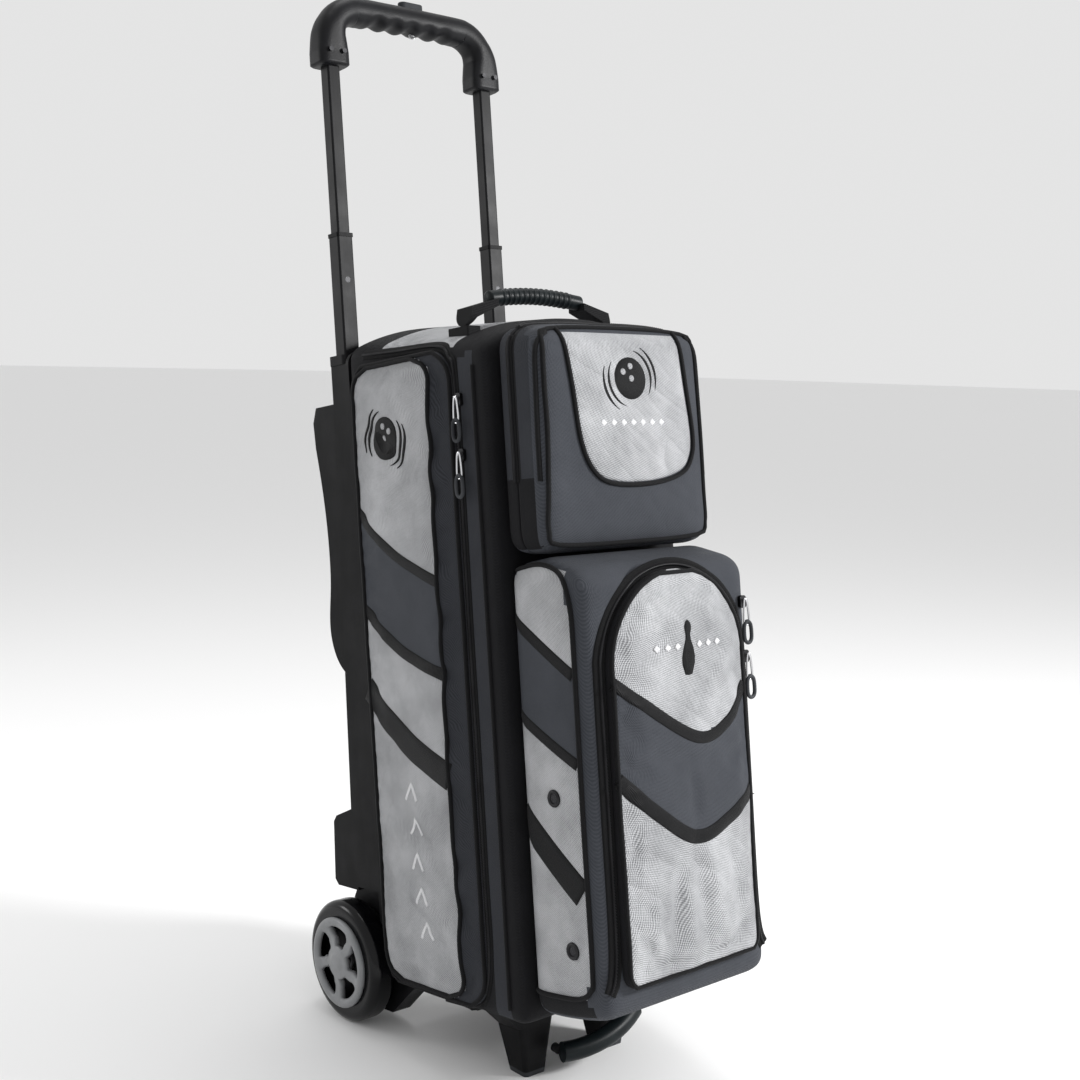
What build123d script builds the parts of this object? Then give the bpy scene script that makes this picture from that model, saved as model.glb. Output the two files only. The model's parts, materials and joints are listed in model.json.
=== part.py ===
"""Rolling bowling bag for three balls, with a telescoping handle, a side door and two front pockets.

The bag is drawn square to its own back board: +X to its right, -Y to its front, +Z up its back.
It stands on two wheels and two shorter-set front feet, so the finished pieces are leaned back
together about the wheel axle before they are written.
"""
import os
from math import cos, radians, sin

from build123d import *

# ---- driving dimensions, in millimetres and degrees ----
BALL_DIAMETER = 216.0
LEAN = 7.5                     # the bag leans back this far when it stands
MIDDLE_SHIFT = -15.5           # puts the finished bag's middle over the origin

# Main compartment
BODY_HALF_WIDTH = 118.0
BODY_FRONT = -133.0
BODY_BACK = 96.0
BODY_BOTTOM = 50.0
SHOULDER_FRONT = 682.0         # height of the side walls at the front and at the back
SHOULDER_BACK = 702.0
CROWN_FRONT = 708.0            # height of the top's middle at the front and at the back
CROWN_BACK = 730.0
WALL = 3.0                     # padded fabric wall

# Side door, and the fixed panel that mirrors it
PANEL_FRONT = -84.0
PANEL_BACK = 80.0
PANEL_BOTTOM = 56.0
PANEL_TOP = 684.0
PANEL_DEPTH = 10.0
PANEL_CORNER = 34.0
GAP = 0.3                      # clearance between a soft moving piece and its neighbour
DOORWAY_MARGIN = 8.0           # the doorway is this much smaller than its door all round

# Accessory pocket, upper front
UPPER_HALF_WIDTH = 108.0
UPPER_FRONT = -193.0
UPPER_BOTTOM = 486.0
UPPER_TOP = 700.0
UPPER_ZIP_Y = -158.0
UPPER_ZIP_END = 548.0          # the zip stops here, and the lid folds here
UPPER_CORNER = 30.0

# Shoe pocket, lower front
LOWER_HALF_WIDTH = 106.0
LOWER_FRONT = -236.0
LOWER_BOTTOM = 72.0
LOWER_TOP = 485.5
SHOE_DOOR_HALF_WIDTH = 86.0
SHOE_DOOR_BOTTOM = 98.0
SHOE_DOOR_TOP = 466.0
SHOE_DOOR_DEPTH = 11.0
EYELETS = ((-185.0, 268.0), (-197.0, 132.0))

# Back frame
BOARD_THICKNESS = 5.0
RAIL_X = 100.0                 # half the spacing of the handle's poles
POLE_Y = 120.0
RAIL_HALF_WIDTH = 14.0
RAIL_BOTTOM = 139.0
RAIL_TOP = 690.0
RAIL_BACK_LOW = (147.0, 222.0)
RAIL_BACK_HIGH = (132.0, 651.0)
SKID_HALF_WIDTH = 11.0

# Wheels
WHEEL_DIAMETER = 127.0
AXLE_Y = 148.0
AXLE_Z = WHEEL_DIAMETER / 2
AXLE_RADIUS = 4.0
RUNNING_CLEARANCE = 0.05
TYRE_WIDTH = 30.0
TYRE_INNER_X = 108.0
HUB_RADIUS = 45.0
HUB_SPOKES = 5
BEARING_RADIUS = 11.0
BEARING_WIDTH = 7.0
WHEEL_WELL_GAP = 3.0
BRACKET_INNER_X = 82.0
BRACKET_OUTER_X = 104.0

# Front legs
LEG_X = 52.0
LEG_Y = -50.0
PAD_THICKNESS = 5.0

# Telescoping handle
OUTER_TUBE = 22.0
MIDDLE_TUBE = 18.4
INNER_TUBE = 15.0
TUBE_WALL = 1.2
OUTER_TUBE_BOTTOM = 160.0
BEZEL_HEIGHT = 10.0
MIDDLE_BOTTOM = 618.0
MIDDLE_TOP = 824.0
INNER_BOTTOM = 762.0
GRIP_BOTTOM = 1002.0
GRIP_UNDERSIDE = 1046.0
GRIP_TOP = 1082.0
GRIP_HALF_WIDTH = 119.0
GRIP_HALF_DEPTH = 17.0
TUBE_IN_GRIP = 34.0
BUTTON_X = 8.0
BUTTON_RISE = 4.0              # the button stands this far above the grip

# Carry handle on the top
CARRY_Y = -70.0
CARRY_HALF_SPAN = 92.0
CARRY_HALF_GRIP = 52.0
CARRY_WEB_WIDTH = 24.0
CARRY_ANCHOR_Z = 706.0
CARRY_HINGE_Z = CARRY_ANCHOR_Z + CARRY_WEB_WIDTH / 2
CARRY_END_Z = 731.0            # middle of the grip's thickness, at its ends and at its highest
CARRY_MIDDLE_Z = 741.0

# Lift handle under the front
LIFT_START = (-34.0, -84.0, -6.0)
LIFT_MIDDLE = (14.0, -92.0, -3.0)
LIFT_END = (61.0, -86.0, 13.0)

LEFT, RIGHT = -1, 1
SIDES = ((LEFT, "left"), (RIGHT, "right"))

stance = (
    Location((0, AXLE_Y + MIDDLE_SHIFT, AXLE_Z))
    * Location((0, 0, 0), (-LEAN, 0, 0))
    * Location((0, -AXLE_Y, -AXLE_Z))
)
# The floor, seen from the upright bag.
floor_normal = (0, -sin(radians(LEAN)), cos(radians(LEAN)))
floor = Plane(
    origin=(0, AXLE_Y + AXLE_Z * sin(radians(LEAN)), AXLE_Z - AXLE_Z * cos(radians(LEAN))),
    x_dir=(1, 0, 0),
    z_dir=floor_normal,
)

os.makedirs("parts", exist_ok=True)


def finish(piece, label):
    """Lean a finished piece with the rest of the bag, name it and write it."""
    piece.part.label = label
    standing = piece.part.moved(stance)
    standing.label = label
    export_step(standing, f"parts/{label}.step")


def arched_outline(half_width, bottom, shoulder, crown, corner):
    """The main compartment seen from the front: straight sides under a low arch."""
    with BuildSketch() as outline:
        with BuildLine():
            Polyline(
                (half_width, shoulder), (half_width, bottom), (-half_width, bottom), (-half_width, shoulder)
            )
            ThreePointArc((-half_width, shoulder), (0, crown), (half_width, shoulder))
        make_face()
        fillet(outline.vertices(), corner)
    return outline.sketch


def panel_outline(grow):
    """The side door seen from the side, as a rounded rectangle in Y and Z."""
    with BuildSketch() as outline:
        with Locations(((PANEL_FRONT + PANEL_BACK) / 2, (PANEL_BOTTOM + PANEL_TOP) / 2)):
            RectangleRounded(
                PANEL_BACK - PANEL_FRONT + 2 * grow,
                PANEL_TOP - PANEL_BOTTOM + 2 * grow,
                PANEL_CORNER + grow,
            )
    return outline.sketch


def upper_outline(inset):
    """The accessory pocket seen from the front."""
    with BuildSketch() as outline:
        with Locations((0, (UPPER_BOTTOM + UPPER_TOP) / 2)):
            RectangleRounded(
                2 * (UPPER_HALF_WIDTH - inset),
                UPPER_TOP - UPPER_BOTTOM - 2 * inset,
                UPPER_CORNER - inset,
            )
    return outline.sketch


def lower_outline(inset):
    """The shoe pocket seen from the side, in Y and Z."""
    with BuildSketch() as outline:
        with BuildLine():
            Polyline(
                (BODY_FRONT, LOWER_BOTTOM - 12 + inset),
                (LOWER_FRONT + inset, LOWER_BOTTOM + inset),
                (LOWER_FRONT + inset, LOWER_TOP - 12 - inset),
                (BODY_FRONT, LOWER_TOP - inset),
                close=True,
            )
        make_face()
        fillet(outline.vertices().sort_by(Axis.X)[:2], 30 - inset)
    return outline.sketch


def shoe_door_outline(inset):
    """The shoe door seen from the front: straight sides under a wide arch."""
    half_width = SHOE_DOOR_HALF_WIDTH - inset
    bottom = SHOE_DOOR_BOTTOM + inset
    top = SHOE_DOOR_TOP - inset
    arch_start = top - 52
    with BuildSketch() as outline:
        with BuildLine():
            Polyline(
                (half_width, arch_start),
                (half_width, bottom),
                (-half_width, bottom),
                (-half_width, arch_start),
            )
            ThreePointArc((-half_width, arch_start), (0, top), (half_width, arch_start))
        make_face()
        fillet(outline.vertices(), 18)
    return outline.sketch


def wheel_wells(grow):
    """Two drums over the wheels, which the compartment's lower back corners keep clear of."""
    with BuildPart() as wells:
        for side in (LEFT, RIGHT):
            with BuildSketch(Plane.YZ.offset(side * (TYRE_INNER_X - 2 - grow))):
                with Locations((AXLE_Y, AXLE_Z)):
                    Circle(WHEEL_DIAMETER / 2 + WHEEL_WELL_GAP + grow)
            extrude(amount=side * 2 * TYRE_WIDTH)
    return wells.part


def body_block(inset):
    """The main compartment as a solid, set in from its walls' outer faces."""
    levels = BODY_HALF_WIDTH - inset, BODY_BOTTOM + inset
    with BuildPart() as block:
        with BuildSketch(Plane.XZ.offset(-BODY_FRONT - inset)):
            add(arched_outline(*levels, SHOULDER_FRONT - inset, CROWN_FRONT - inset, 20 - inset))
        with BuildSketch(Plane.XZ.offset(-BODY_BACK + inset)):
            add(arched_outline(*levels, SHOULDER_BACK - inset, CROWN_BACK - inset, 20 - inset))
        loft(ruled=True)
        add(wheel_wells(inset), mode=Mode.SUBTRACT)
    return block.part


# ---- main compartment ----
with BuildPart() as body_shell:
    add(body_block(0))
    add(body_block(WALL), mode=Mode.SUBTRACT)
    with BuildSketch(Plane.YZ.offset(-BODY_HALF_WIDTH - 1)):
        add(panel_outline(-DOORWAY_MARGIN))
    extrude(amount=WALL + 2, mode=Mode.SUBTRACT)
finish(body_shell, "body_shell")

BASE_TRAY_TOP = BODY_BOTTOM + WALL + 4
with BuildPart() as base_tray:
    with BuildSketch(Plane.XY.offset(BODY_BOTTOM + WALL)):
        with Locations((0, (BODY_FRONT + BODY_BACK) / 2)):
            RectangleRounded(2 * BODY_HALF_WIDTH - 46, BODY_BACK - BODY_FRONT - 8, 6)
    extrude(amount=BASE_TRAY_TOP - BODY_BOTTOM - WALL)
finish(base_tray, "base_tray")

# Foam rings that the balls nest in. Neighbouring balls almost touch inside each ring's hole.
RING_THICKNESS = 12.0
RING_HOLE_RADIUS = 62.0
BALL_PITCH = BALL_DIAMETER + 1
ball_centre_y = (BODY_FRONT + BODY_BACK) / 2
first_ball_centre = BASE_TRAY_TOP + BALL_DIAMETER / 2
ring_levels = (
    BASE_TRAY_TOP,
    first_ball_centre + BALL_PITCH / 2 - RING_THICKNESS / 2,
    first_ball_centre + BALL_PITCH * 3 / 2 - RING_THICKNESS / 2,
)
with BuildPart() as ball_rings:
    for ring_level in ring_levels:
        with BuildSketch(Plane.XY.offset(ring_level)):
            with Locations((0, ball_centre_y)):
                Rectangle(2 * (BODY_HALF_WIDTH - WALL - 18), BODY_BACK - BODY_FRONT - 2 * WALL - 1)
                Circle(RING_HOLE_RADIUS, mode=Mode.SUBTRACT)
        extrude(amount=RING_THICKNESS)
finish(ball_rings, "ball_rings")

# ---- side door, and the fixed panel on the right ----
for side, panel_name in ((LEFT, "side_door_shell"), (RIGHT, "right_side_panel")):
    outer_x = side * (BODY_HALF_WIDTH + PANEL_DEPTH)
    with BuildPart() as side_panel:
        with BuildSketch(Plane.YZ.offset(outer_x)):
            add(panel_outline(0))
        extrude(amount=-side * (PANEL_DEPTH - GAP))
        fillet(side_panel.faces().sort_by(Axis.X)[0 if side == LEFT else -1].edges(), 6)
        with BuildSketch(Plane.YZ.offset(outer_x - side * 4)):
            add(panel_outline(-5))
        extrude(amount=-side * PANEL_DEPTH, mode=Mode.SUBTRACT)
    finish(side_panel, panel_name)

with BuildPart() as side_door_pad:
    with BuildSketch(Plane.YZ.offset(-BODY_HALF_WIDTH - PANEL_DEPTH + 4)):
        add(panel_outline(-9.5))
    extrude(amount=5)
finish(side_door_pad, "side_door_pad")

# ---- accessory pocket ----
with BuildPart() as accessory_pocket:
    with BuildSketch(Plane.XZ.offset(-BODY_FRONT)):
        add(upper_outline(0))
    extrude(amount=BODY_FRONT - UPPER_FRONT)
    with BuildSketch(Plane.XZ.offset(-BODY_FRONT + WALL)):
        add(upper_outline(WALL))
    extrude(amount=BODY_FRONT - UPPER_FRONT - 2 * WALL, mode=Mode.SUBTRACT)
    with BuildSketch(Plane.XZ.offset(-UPPER_ZIP_Y)):
        with Locations((0, UPPER_ZIP_END + UPPER_TOP / 2)):
            Rectangle(3 * UPPER_HALF_WIDTH, UPPER_TOP)
    extrude(amount=BODY_FRONT - UPPER_FRONT, mode=Mode.SUBTRACT)
finish(accessory_pocket, "accessory_pocket")

with BuildPart() as accessory_lid:
    with BuildSketch(Plane.XZ.offset(-UPPER_ZIP_Y + GAP)):
        add(upper_outline(0))
    extrude(amount=UPPER_ZIP_Y - UPPER_FRONT - GAP)
    with BuildSketch(Plane.XZ.offset(-UPPER_ZIP_Y)):
        add(upper_outline(WALL))
    extrude(amount=UPPER_ZIP_Y - UPPER_FRONT - WALL, mode=Mode.SUBTRACT)
    with BuildSketch(Plane.XZ.offset(-UPPER_ZIP_Y)):
        with Locations((0, UPPER_ZIP_END + GAP - UPPER_TOP / 2)):
            Rectangle(3 * UPPER_HALF_WIDTH, UPPER_TOP)
    extrude(amount=BODY_FRONT - UPPER_FRONT, mode=Mode.SUBTRACT)
finish(accessory_lid, "accessory_lid")

# ---- shoe pocket ----
with BuildPart() as shoe_pocket:
    with BuildSketch(Plane.YZ.offset(-LOWER_HALF_WIDTH)):
        add(lower_outline(0))
    extrude(amount=2 * LOWER_HALF_WIDTH)
    with BuildSketch(Plane.YZ.offset(-LOWER_HALF_WIDTH + WALL)):
        add(lower_outline(WALL))
    extrude(amount=2 * (LOWER_HALF_WIDTH - WALL), mode=Mode.SUBTRACT)
    with BuildSketch(Plane.XZ.offset(-LOWER_FRONT + 1)):
        add(shoe_door_outline(DOORWAY_MARGIN))
    extrude(amount=-(WALL + 2), mode=Mode.SUBTRACT)
    for eyelet_y, eyelet_z in EYELETS:
        with Locations((0, eyelet_y, eyelet_z)):
            Cylinder(4.5, 3 * LOWER_HALF_WIDTH, rotation=(0, 90, 0), mode=Mode.SUBTRACT)
finish(shoe_pocket, "shoe_pocket")

with BuildPart() as shoe_door:
    with BuildSketch(Plane.XZ.offset(-LOWER_FRONT + GAP)):
        add(shoe_door_outline(0))
    extrude(amount=SHOE_DOOR_DEPTH - GAP)
    fillet(shoe_door.faces().sort_by(Axis.Y)[0].edges(), 6)
    with BuildSketch(Plane.XZ.offset(-LOWER_FRONT)):
        add(shoe_door_outline(5))
    extrude(amount=SHOE_DOOR_DEPTH - 4, mode=Mode.SUBTRACT)
finish(shoe_door, "shoe_door_shell")

with BuildPart() as shoe_door_pad:
    with BuildSketch(Plane.XZ.offset(-LOWER_FRONT + 2.5)):
        add(shoe_door_outline(9.5))
    extrude(amount=SHOE_DOOR_DEPTH - 4 - 2.5)
finish(shoe_door_pad, "shoe_door_pad")

with BuildPart() as vent_eyelets:
    for side in (LEFT, RIGHT):
        for eyelet_y, eyelet_z in EYELETS:
            with BuildSketch(Plane.YZ.offset(side * (LOWER_HALF_WIDTH - WALL))):
                with Locations((eyelet_y, eyelet_z)):
                    Circle(4.5)
                    Circle(3.0, mode=Mode.SUBTRACT)
            extrude(amount=side * WALL)
            with BuildSketch(Plane.YZ.offset(side * LOWER_HALF_WIDTH)):
                with Locations((eyelet_y, eyelet_z)):
                    Circle(7.5)
                    Circle(3.0, mode=Mode.SUBTRACT)
            extrude(amount=side * 1.5)
finish(vent_eyelets, "vent_eyelets")

# ---- back frame ----
with BuildPart() as back_board:
    with BuildSketch(Plane.XZ.offset(-BODY_BACK)):
        with Locations((0, (BODY_BOTTOM + SHOULDER_BACK) / 2)):
            RectangleRounded(2 * BODY_HALF_WIDTH - 4, SHOULDER_BACK - BODY_BOTTOM, 14)
    extrude(amount=-BOARD_THICKNESS)
    add(wheel_wells(0), mode=Mode.SUBTRACT)
finish(back_board, "back_board")

BOARD_BACK = BODY_BACK + BOARD_THICKNESS
for side, side_name in SIDES:
    with BuildPart() as side_rail:
        with BuildSketch(Plane.YZ.offset(side * RAIL_X - RAIL_HALF_WIDTH)):
            with BuildLine():
                Polyline(
                    (BOARD_BACK, RAIL_BOTTOM),
                    (RAIL_BACK_LOW[0], RAIL_BOTTOM),
                    RAIL_BACK_LOW,
                    RAIL_BACK_HIGH,
                    (RAIL_BACK_HIGH[0], RAIL_TOP),
                    (BOARD_BACK, RAIL_TOP),
                    close=True,
                )
            make_face()
        extrude(amount=2 * RAIL_HALF_WIDTH)
        with BuildSketch(Plane.XY.offset(OUTER_TUBE_BOTTOM)):
            with Locations((side * RAIL_X, POLE_Y)):
                Rectangle(OUTER_TUBE + 0.2, OUTER_TUBE + 0.2)
        extrude(amount=RAIL_TOP, mode=Mode.SUBTRACT)
    finish(side_rail, f"side_rail_{side_name}")

    with BuildPart() as wheel_bracket:
        with BuildSketch(Plane.YZ.offset(side * BRACKET_INNER_X)):
            with BuildLine():
                Polyline(
                    (60, BODY_BOTTOM),
                    (66, 42),
                    (106, 10),
                    (150, 10),
                    (186, 40),
                    (186, 92),
                    (160, RAIL_BOTTOM - 6),
                    (RAIL_BACK_LOW[0], RAIL_BOTTOM - 5),
                    (RAIL_BACK_LOW[0], RAIL_BOTTOM),
                    (BOARD_BACK, RAIL_BOTTOM),
                    (BOARD_BACK, BODY_BOTTOM),
                    close=True,
                )
            make_face()
            with Locations((AXLE_Y, AXLE_Z)):
                Circle(AXLE_RADIUS, mode=Mode.SUBTRACT)
        extrude(amount=side * (BRACKET_OUTER_X - BRACKET_INNER_X))
    finish(wheel_bracket, f"wheel_bracket_{side_name}")

with BuildPart() as upper_skids:
    for side in (LEFT, RIGHT):
        with BuildSketch(Plane.YZ.offset(side * RAIL_X - SKID_HALF_WIDTH)):
            with BuildLine():
                Spline((142, 365), (164, 388), (170, 410), (165, 455), (163, 494), (167, 549), (177, 607))
                Polyline((177, 607), (179, 634), (172, 650), RAIL_BACK_HIGH, (142, 365))
            make_face()
        extrude(amount=2 * SKID_HALF_WIDTH)
finish(upper_skids, "upper_skids")

with BuildPart() as lower_skids:
    for side in (LEFT, RIGHT):
        with BuildSketch(Plane.YZ.offset(side * RAIL_X - SKID_HALF_WIDTH)):
            with BuildLine():
                Polyline(
                    RAIL_BACK_LOW,
                    (182, 210),
                    (188, 203),
                    (192, 140),
                    (186, 134),
                    (RAIL_BACK_LOW[0], 134),
                    close=True,
                )
            make_face()
        extrude(amount=2 * SKID_HALF_WIDTH)
finish(lower_skids, "lower_skids")

# ---- wheels ----
NUT_WIDTH = 5.0
hub_outer_x = TYRE_INNER_X + TYRE_WIDTH - 2
AXLE_END = hub_outer_x - 1
with BuildPart() as axle:
    with BuildSketch(Plane.YZ.offset(-AXLE_END)):
        with Locations((AXLE_Y, AXLE_Z)):
            Circle(AXLE_RADIUS)
    extrude(amount=2 * AXLE_END)
finish(axle, "axle")

for side, side_name in SIDES:
    inner_plane = Plane.YZ.offset(side * TYRE_INNER_X)
    with BuildPart() as tyre:
        with BuildSketch(inner_plane):
            with Locations((AXLE_Y, AXLE_Z)):
                Circle(WHEEL_DIAMETER / 2)
        extrude(amount=side * TYRE_WIDTH)
        fillet(tyre.edges().filter_by(GeomType.CIRCLE), 9)
        with BuildSketch(inner_plane):
            with Locations((AXLE_Y, AXLE_Z)):
                Circle(HUB_RADIUS)
        extrude(amount=side * TYRE_WIDTH, mode=Mode.SUBTRACT)
    finish(tyre, f"tyre_{side_name}")

    with BuildPart() as hub:
        with BuildSketch(Plane.YZ.offset(side * (TYRE_INNER_X + 2))):
            with Locations((AXLE_Y, AXLE_Z)):
                Circle(HUB_RADIUS)
        extrude(amount=side * (TYRE_WIDTH - 4))
        with BuildSketch(Plane.YZ.offset(side * (hub_outer_x - 8))):
            with Locations((AXLE_Y, AXLE_Z)):
                Circle(HUB_RADIUS - 5)
                Circle(16, mode=Mode.SUBTRACT)
        extrude(amount=side * 8, mode=Mode.SUBTRACT)
        with BuildSketch(Plane.YZ.offset(side * (hub_outer_x - 8))):
            with Locations((AXLE_Y, AXLE_Z)):
                with PolarLocations(25, HUB_SPOKES):
                    Rectangle(34, 12)
        extrude(amount=side * 7)
        with BuildSketch(Plane.YZ.offset(side * (TYRE_INNER_X + 2))):
            with Locations((AXLE_Y, AXLE_Z)):
                with PolarLocations(30, HUB_SPOKES, start_angle=180 / HUB_SPOKES):
                    Circle(9)
        extrude(amount=side * TYRE_WIDTH, mode=Mode.SUBTRACT)
        with BuildSketch(Plane.YZ.offset(side * (TYRE_INNER_X + 2))):
            with Locations((AXLE_Y, AXLE_Z)):
                Circle(BEARING_RADIUS)
        extrude(amount=side * (TYRE_WIDTH - 4), mode=Mode.SUBTRACT)
    finish(hub, f"hub_{side_name}")

    with BuildPart() as bearings:
        for start in (TYRE_INNER_X + 2, hub_outer_x - 6 - BEARING_WIDTH):
            with BuildSketch(Plane.YZ.offset(side * start)):
                with Locations((AXLE_Y, AXLE_Z)):
                    Circle(BEARING_RADIUS)
                    Circle(AXLE_RADIUS + RUNNING_CLEARANCE, mode=Mode.SUBTRACT)
            extrude(amount=side * BEARING_WIDTH)
    finish(bearings, f"wheel_bearings_{side_name}")

with BuildPart() as axle_nuts:
    for side in (LEFT, RIGHT):
        with BuildSketch(Plane.YZ.offset(side * (hub_outer_x - 0.5))):
            with Locations((AXLE_Y, AXLE_Z)):
                RegularPolygon(7.5, 6)
                Circle(AXLE_RADIUS, mode=Mode.SUBTRACT)
        extrude(amount=-side * NUT_WIDTH)
finish(axle_nuts, "axle_nuts")

# ---- front legs ----
leg_blanks = []
for side, side_name in SIDES:
    with BuildPart() as leg_blank:
        with BuildSketch(Plane.XY.offset(BODY_BOTTOM)):
            with Locations((side * (LEG_X + 8), LEG_Y + 4)):
                RectangleRounded(72, 54, 8)
        with BuildSketch(Plane.XY.offset(22)):
            with Locations((side * LEG_X, LEG_Y)):
                RectangleRounded(40, 42, 6)
        loft()
        with BuildSketch(Plane.XY.offset(22)):
            with Locations((side * LEG_X, LEG_Y)):
                RectangleRounded(40, 42, 6)
        with BuildSketch(Plane.XY.offset(-40)):
            with Locations((side * LEG_X, LEG_Y)):
                RectangleRounded(23, 22, 4)
        loft()
    leg_blanks.append(leg_blank.part)

    with BuildPart() as front_leg:
        add(leg_blank.part)
        split(bisect_by=floor.offset(PAD_THICKNESS), keep=Keep.TOP)
    finish(front_leg, f"front_leg_{side_name}")

with BuildPart() as foot_pads:
    add(leg_blanks)
    split(bisect_by=floor.offset(PAD_THICKNESS), keep=Keep.BOTTOM)
    split(bisect_by=floor, keep=Keep.TOP)
finish(foot_pads, "foot_pads")

# ---- telescoping handle ----
for side, side_name in SIDES:
    pole_x = side * RAIL_X
    tubes = (
        (f"outer_tube_{side_name}", OUTER_TUBE, OUTER_TUBE_BOTTOM, RAIL_TOP),
        (f"middle_tube_{side_name}", MIDDLE_TUBE, MIDDLE_BOTTOM, MIDDLE_TOP),
        (f"inner_tube_{side_name}", INNER_TUBE, INNER_BOTTOM, GRIP_BOTTOM + TUBE_IN_GRIP),
    )
    for tube_name, tube_size, tube_bottom, tube_top in tubes:
        with BuildPart() as tube:
            with BuildSketch(Plane.XY.offset(tube_bottom)):
                with Locations((pole_x, POLE_Y)):
                    RectangleRounded(tube_size, tube_size, 2)
                    Rectangle(tube_size - 2 * TUBE_WALL, tube_size - 2 * TUBE_WALL, mode=Mode.SUBTRACT)
            extrude(amount=tube_top - tube_bottom)
            if tube_size == MIDDLE_TUBE:
                with Locations((pole_x, POLE_Y - MIDDLE_TUBE / 2, MIDDLE_TOP - 45)):
                    Cylinder(3, 3 * TUBE_WALL, rotation=(90, 0, 0), mode=Mode.SUBTRACT)
        finish(tube, tube_name)

pole_places = ((-RAIL_X, POLE_Y), (RAIL_X, POLE_Y))
with BuildPart() as pole_bezels:
    with BuildSketch(Plane.XY.offset(RAIL_TOP)):
        with Locations(pole_places):
            RectangleRounded(30, 30, 5)
            Rectangle(MIDDLE_TUBE + 0.4, MIDDLE_TUBE + 0.4, mode=Mode.SUBTRACT)
    extrude(amount=BEZEL_HEIGHT)
finish(pole_bezels, "pole_bezels")

with BuildPart() as middle_collars:
    with BuildSketch(Plane.XY.offset(MIDDLE_TOP)):
        with Locations(pole_places):
            RectangleRounded(MIDDLE_TUBE + 1.6, MIDDLE_TUBE + 1.6, 2.5)
            Rectangle(INNER_TUBE + 0.3, INNER_TUBE + 0.3, mode=Mode.SUBTRACT)
    extrude(amount=4)
finish(middle_collars, "middle_collars")

with BuildPart() as lock_pins:
    with BuildSketch(Plane.XZ.offset(-POLE_Y + MIDDLE_TUBE / 2 - TUBE_WALL)):
        with Locations((-RAIL_X, MIDDLE_TOP - 45), (RAIL_X, MIDDLE_TOP - 45)):
            Circle(3)
    extrude(amount=TUBE_WALL)
finish(lock_pins, "lock_pins")

# The grip is two moulded halves that meet on the plane through both poles.
BUTTON_SLOT = 15.0
CHANNEL_BOTTOM = GRIP_UNDERSIDE + 2.5
CHANNEL_TOP = CHANNEL_BOTTOM + 10.5
with BuildPart() as grip_blank:
    with BuildSketch(Plane.XZ.offset(-POLE_Y - GRIP_HALF_DEPTH)):
        with BuildLine():
            Line((-RAIL_X + 15, GRIP_BOTTOM), (-RAIL_X - 15, GRIP_BOTTOM))
            Line((-RAIL_X - 15, GRIP_BOTTOM), (-GRIP_HALF_WIDTH, 1030))
            Spline((-GRIP_HALF_WIDTH, 1030), (-GRIP_HALF_WIDTH + 12, 1062), (-70, 1077), (0, GRIP_TOP))
            Spline((0, GRIP_TOP), (70, 1077), (GRIP_HALF_WIDTH - 12, 1062), (GRIP_HALF_WIDTH, 1030))
            Line((GRIP_HALF_WIDTH, 1030), (RAIL_X + 15, GRIP_BOTTOM))
            Line((RAIL_X + 15, GRIP_BOTTOM), (RAIL_X - 15, GRIP_BOTTOM))
            Line((RAIL_X - 15, GRIP_BOTTOM), (78, 1024))
            ThreePointArc((78, 1024), (72, 1039), (56, GRIP_UNDERSIDE))
            Line((56, GRIP_UNDERSIDE), (-56, GRIP_UNDERSIDE))
            ThreePointArc((-56, GRIP_UNDERSIDE), (-72, 1039), (-78, 1024))
            Line((-78, 1024), (-RAIL_X + 15, GRIP_BOTTOM))
        make_face()
    extrude(amount=2 * GRIP_HALF_DEPTH)
    grip_faces = grip_blank.faces().sort_by(Axis.Y)
    fillet(grip_faces[0].edges() + grip_faces[-1].edges(), 6)
    with BuildSketch(Plane.XY.offset(GRIP_BOTTOM)):
        with Locations(pole_places):
            Rectangle(INNER_TUBE, INNER_TUBE)
    extrude(amount=TUBE_IN_GRIP, mode=Mode.SUBTRACT)
    with BuildSketch(Plane.XZ.offset(-POLE_Y - 6)):
        with Locations((0, (CHANNEL_BOTTOM + CHANNEL_TOP) / 2)):
            Rectangle(2 * RAIL_X + 12, CHANNEL_TOP - CHANNEL_BOTTOM)
        with Locations((-RAIL_X, CHANNEL_BOTTOM), (RAIL_X, CHANNEL_BOTTOM)):
            Rectangle(12, 2 * (CHANNEL_BOTTOM - GRIP_BOTTOM - TUBE_IN_GRIP) + 10)
        with Locations((BUTTON_X, GRIP_TOP)):
            Rectangle(2 * BUTTON_SLOT + 1, 2 * (GRIP_TOP - CHANNEL_BOTTOM - 4))
    extrude(amount=12, mode=Mode.SUBTRACT)

for half_name, half_keep in (("grip_front_half", Keep.TOP), ("grip_back_half", Keep.BOTTOM)):
    with BuildPart() as grip_half:
        add(grip_blank.part)
        split(bisect_by=Plane.XZ.offset(-POLE_Y), keep=half_keep)
    finish(grip_half, half_name)

# The button presses a bar, and the bar presses a rod inside each pole.
BAR_BOTTOM = CHANNEL_BOTTOM + 5
BAR_TOP = BAR_BOTTOM + 4
with BuildPart() as release_button:
    with BuildSketch(Plane.XY.offset(BAR_TOP)):
        with Locations((BUTTON_X, POLE_Y)):
            SlotOverall(2 * BUTTON_SLOT, 11)
    extrude(amount=GRIP_TOP + BUTTON_RISE - BAR_TOP)
    fillet(release_button.faces().sort_by(Axis.Z)[-1].edges(), 1.5)
finish(release_button, "release_button")

with BuildPart() as release_bar:
    with BuildSketch(Plane.XY.offset(BAR_BOTTOM)):
        with Locations((0, POLE_Y)):
            Rectangle(2 * RAIL_X + 8, 8)
    extrude(amount=BAR_TOP - BAR_BOTTOM)
finish(release_bar, "release_bar")

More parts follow.
